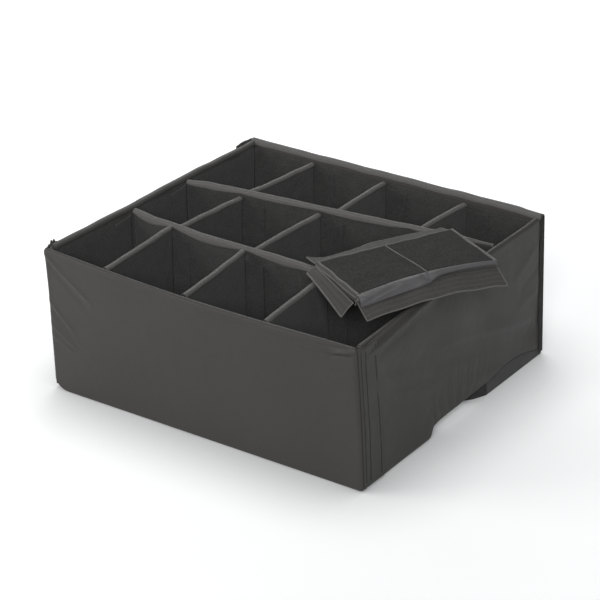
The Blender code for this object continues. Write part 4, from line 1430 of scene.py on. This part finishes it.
class DIVIDER_OT_stage(bpy.types.Operator):
    """Build the paper floor, the soft lights and the camera at the photograph's view"""
    bl_idname = "divider_set.stage"
    bl_label = "Stage"

    def execute(self, context):
        self.add_camera(context.scene)
        self.add_floor()
        self.add_world(context.scene)
        self.add_lights()
        return {"FINISHED"}

    def hold(self, data, matrix):
        """Put a camera or a lamp in the scene at its place and turn."""
        holder = bpy.data.objects.new(data.name, data)
        holder.matrix_world = matrix
        bpy.context.scene.collection.objects.link(holder)
        return holder

    def aimed(self, place, aim):
        """The matrix of a lamp at a place that shines along a direction."""
        return Matrix.Translation(place) @ Vector(aim).to_track_quat("-Z", "Y").to_matrix().to_4x4()

    def add_camera(self, scene):
        """A long lens looking from the front right, 26.5 degrees down."""
        azimuth, elevation = math.radians(34.048), math.radians(26.482)
        place = (1.92630, -2.85447, 1.84996)
        back = Vector((
            math.sin(azimuth) * math.cos(elevation),
            -math.cos(azimuth) * math.cos(elevation),
            math.sin(elevation)))
        right = Vector((math.cos(azimuth), math.sin(azimuth), 0))
        turn = Matrix((right, back.cross(right), back)).transposed().to_4x4()
        camera = bpy.data.cameras.new("camera")
        camera.lens = 138
        camera.sensor_width = 36
        camera.clip_end = 60
        scene.camera = self.hold(camera, Matrix.Translation(place) @ turn)

    def add_floor(self):
        """A flat sheet of paper, 18 m square."""
        side = np.linspace(-9, 9, 2)
        points = np.stack([*np.meshgrid(side, side, indexing="ij"), np.zeros((2, 2))], -1)
        grid_object("floor", points, points[..., :2], "floor_paper", closed=False)

    def add_world(self, scene):
        """A dim, slightly cool sky."""
        world = bpy.data.worlds.new("studio")
        world.use_nodes = True
        sky = world.node_tree.nodes["Background"]
        sky.inputs["Color"].default_value = (0.97, 0.985, 1, 1)
        sky.inputs["Strength"].default_value = 0.16
        scene.world = world

    def add_lights(self):
        """Three soft lamps aimed at the middle of the set, and a wide sun from the camera's side."""
        middle = Vector((0, 0, 0.1))
        for name, place, size, power, colour in (
            ("top_light", (-0.3, 0.2, 2.4), 1.8, 10, (1, 0.99, 0.97)),
            ("back_light", (-1.3, 2.0, 1.5), 1.4, 16, (1, 1, 1)),
            ("left_light", (-1.7, -1.5, 1.1), 1.2, 20, (1, 0.98, 0.95)),
        ):
            lamp = bpy.data.lights.new(name, "AREA")
            lamp.size = size
            lamp.energy = power
            lamp.color = colour
            self.hold(lamp, self.aimed(place, middle - Vector(place)))
        sun = bpy.data.lights.new("view_fill", "SUN")
        sun.energy = 2.15
        sun.angle = math.radians(25)
        self.hold(sun, self.aimed((0, 0, 0), (-0.5, 0.83, -0.62)))


# Panel and registration

class DIVIDER_PT_panel(bpy.types.Panel):
    """The divider set's builders and settings, in the 3D view's sidebar"""
    bl_label = "Divider Set"
    bl_idname = "DIVIDER_PT_panel"
    bl_space_type = "VIEW_3D"
    bl_region_type = "UI"
    bl_category = "Divider Set"

    def draw(self, context):
        for group in (context.scene.pad_sizes, context.scene.cloth_colours):
            for name in group.__annotations__:
                self.layout.prop(group, name)
        for builder in BUILDERS:
            self.layout.operator(builder.bl_idname)


GROUPS = (PadSizes, ClothColours)
BUILDERS = (
    DIVIDER_OT_stage, DIVIDER_OT_walls, DIVIDER_OT_base_pad, DIVIDER_OT_long_dividers,
    DIVIDER_OT_short_dividers, DIVIDER_OT_corner_flaps, DIVIDER_OT_loose_divider,
)


def register():
    for entry in (*GROUPS, *BUILDERS, DIVIDER_PT_panel):
        bpy.utils.register_class(entry)
    bpy.types.Scene.pad_sizes = PointerProperty(type=PadSizes)
    bpy.types.Scene.cloth_colours = PointerProperty(type=ClothColours)


def unregister():
    del bpy.types.Scene.cloth_colours
    del bpy.types.Scene.pad_sizes
    for entry in reversed((*GROUPS, *BUILDERS, DIVIDER_PT_panel)):
        bpy.utils.unregister_class(entry)


def main():
    """Build everything in order."""
    register()
    bpy.context.scene.view_settings.view_transform = "Standard"
    bpy.ops.divider_set.stage()
    bpy.ops.divider_set.walls()
    bpy.ops.divider_set.base_pad()
    bpy.ops.divider_set.long_dividers()
    bpy.ops.divider_set.short_dividers()
    bpy.ops.divider_set.corner_flaps()
    bpy.ops.divider_set.loose_divider()


if __name__ == "__main__":
    main()
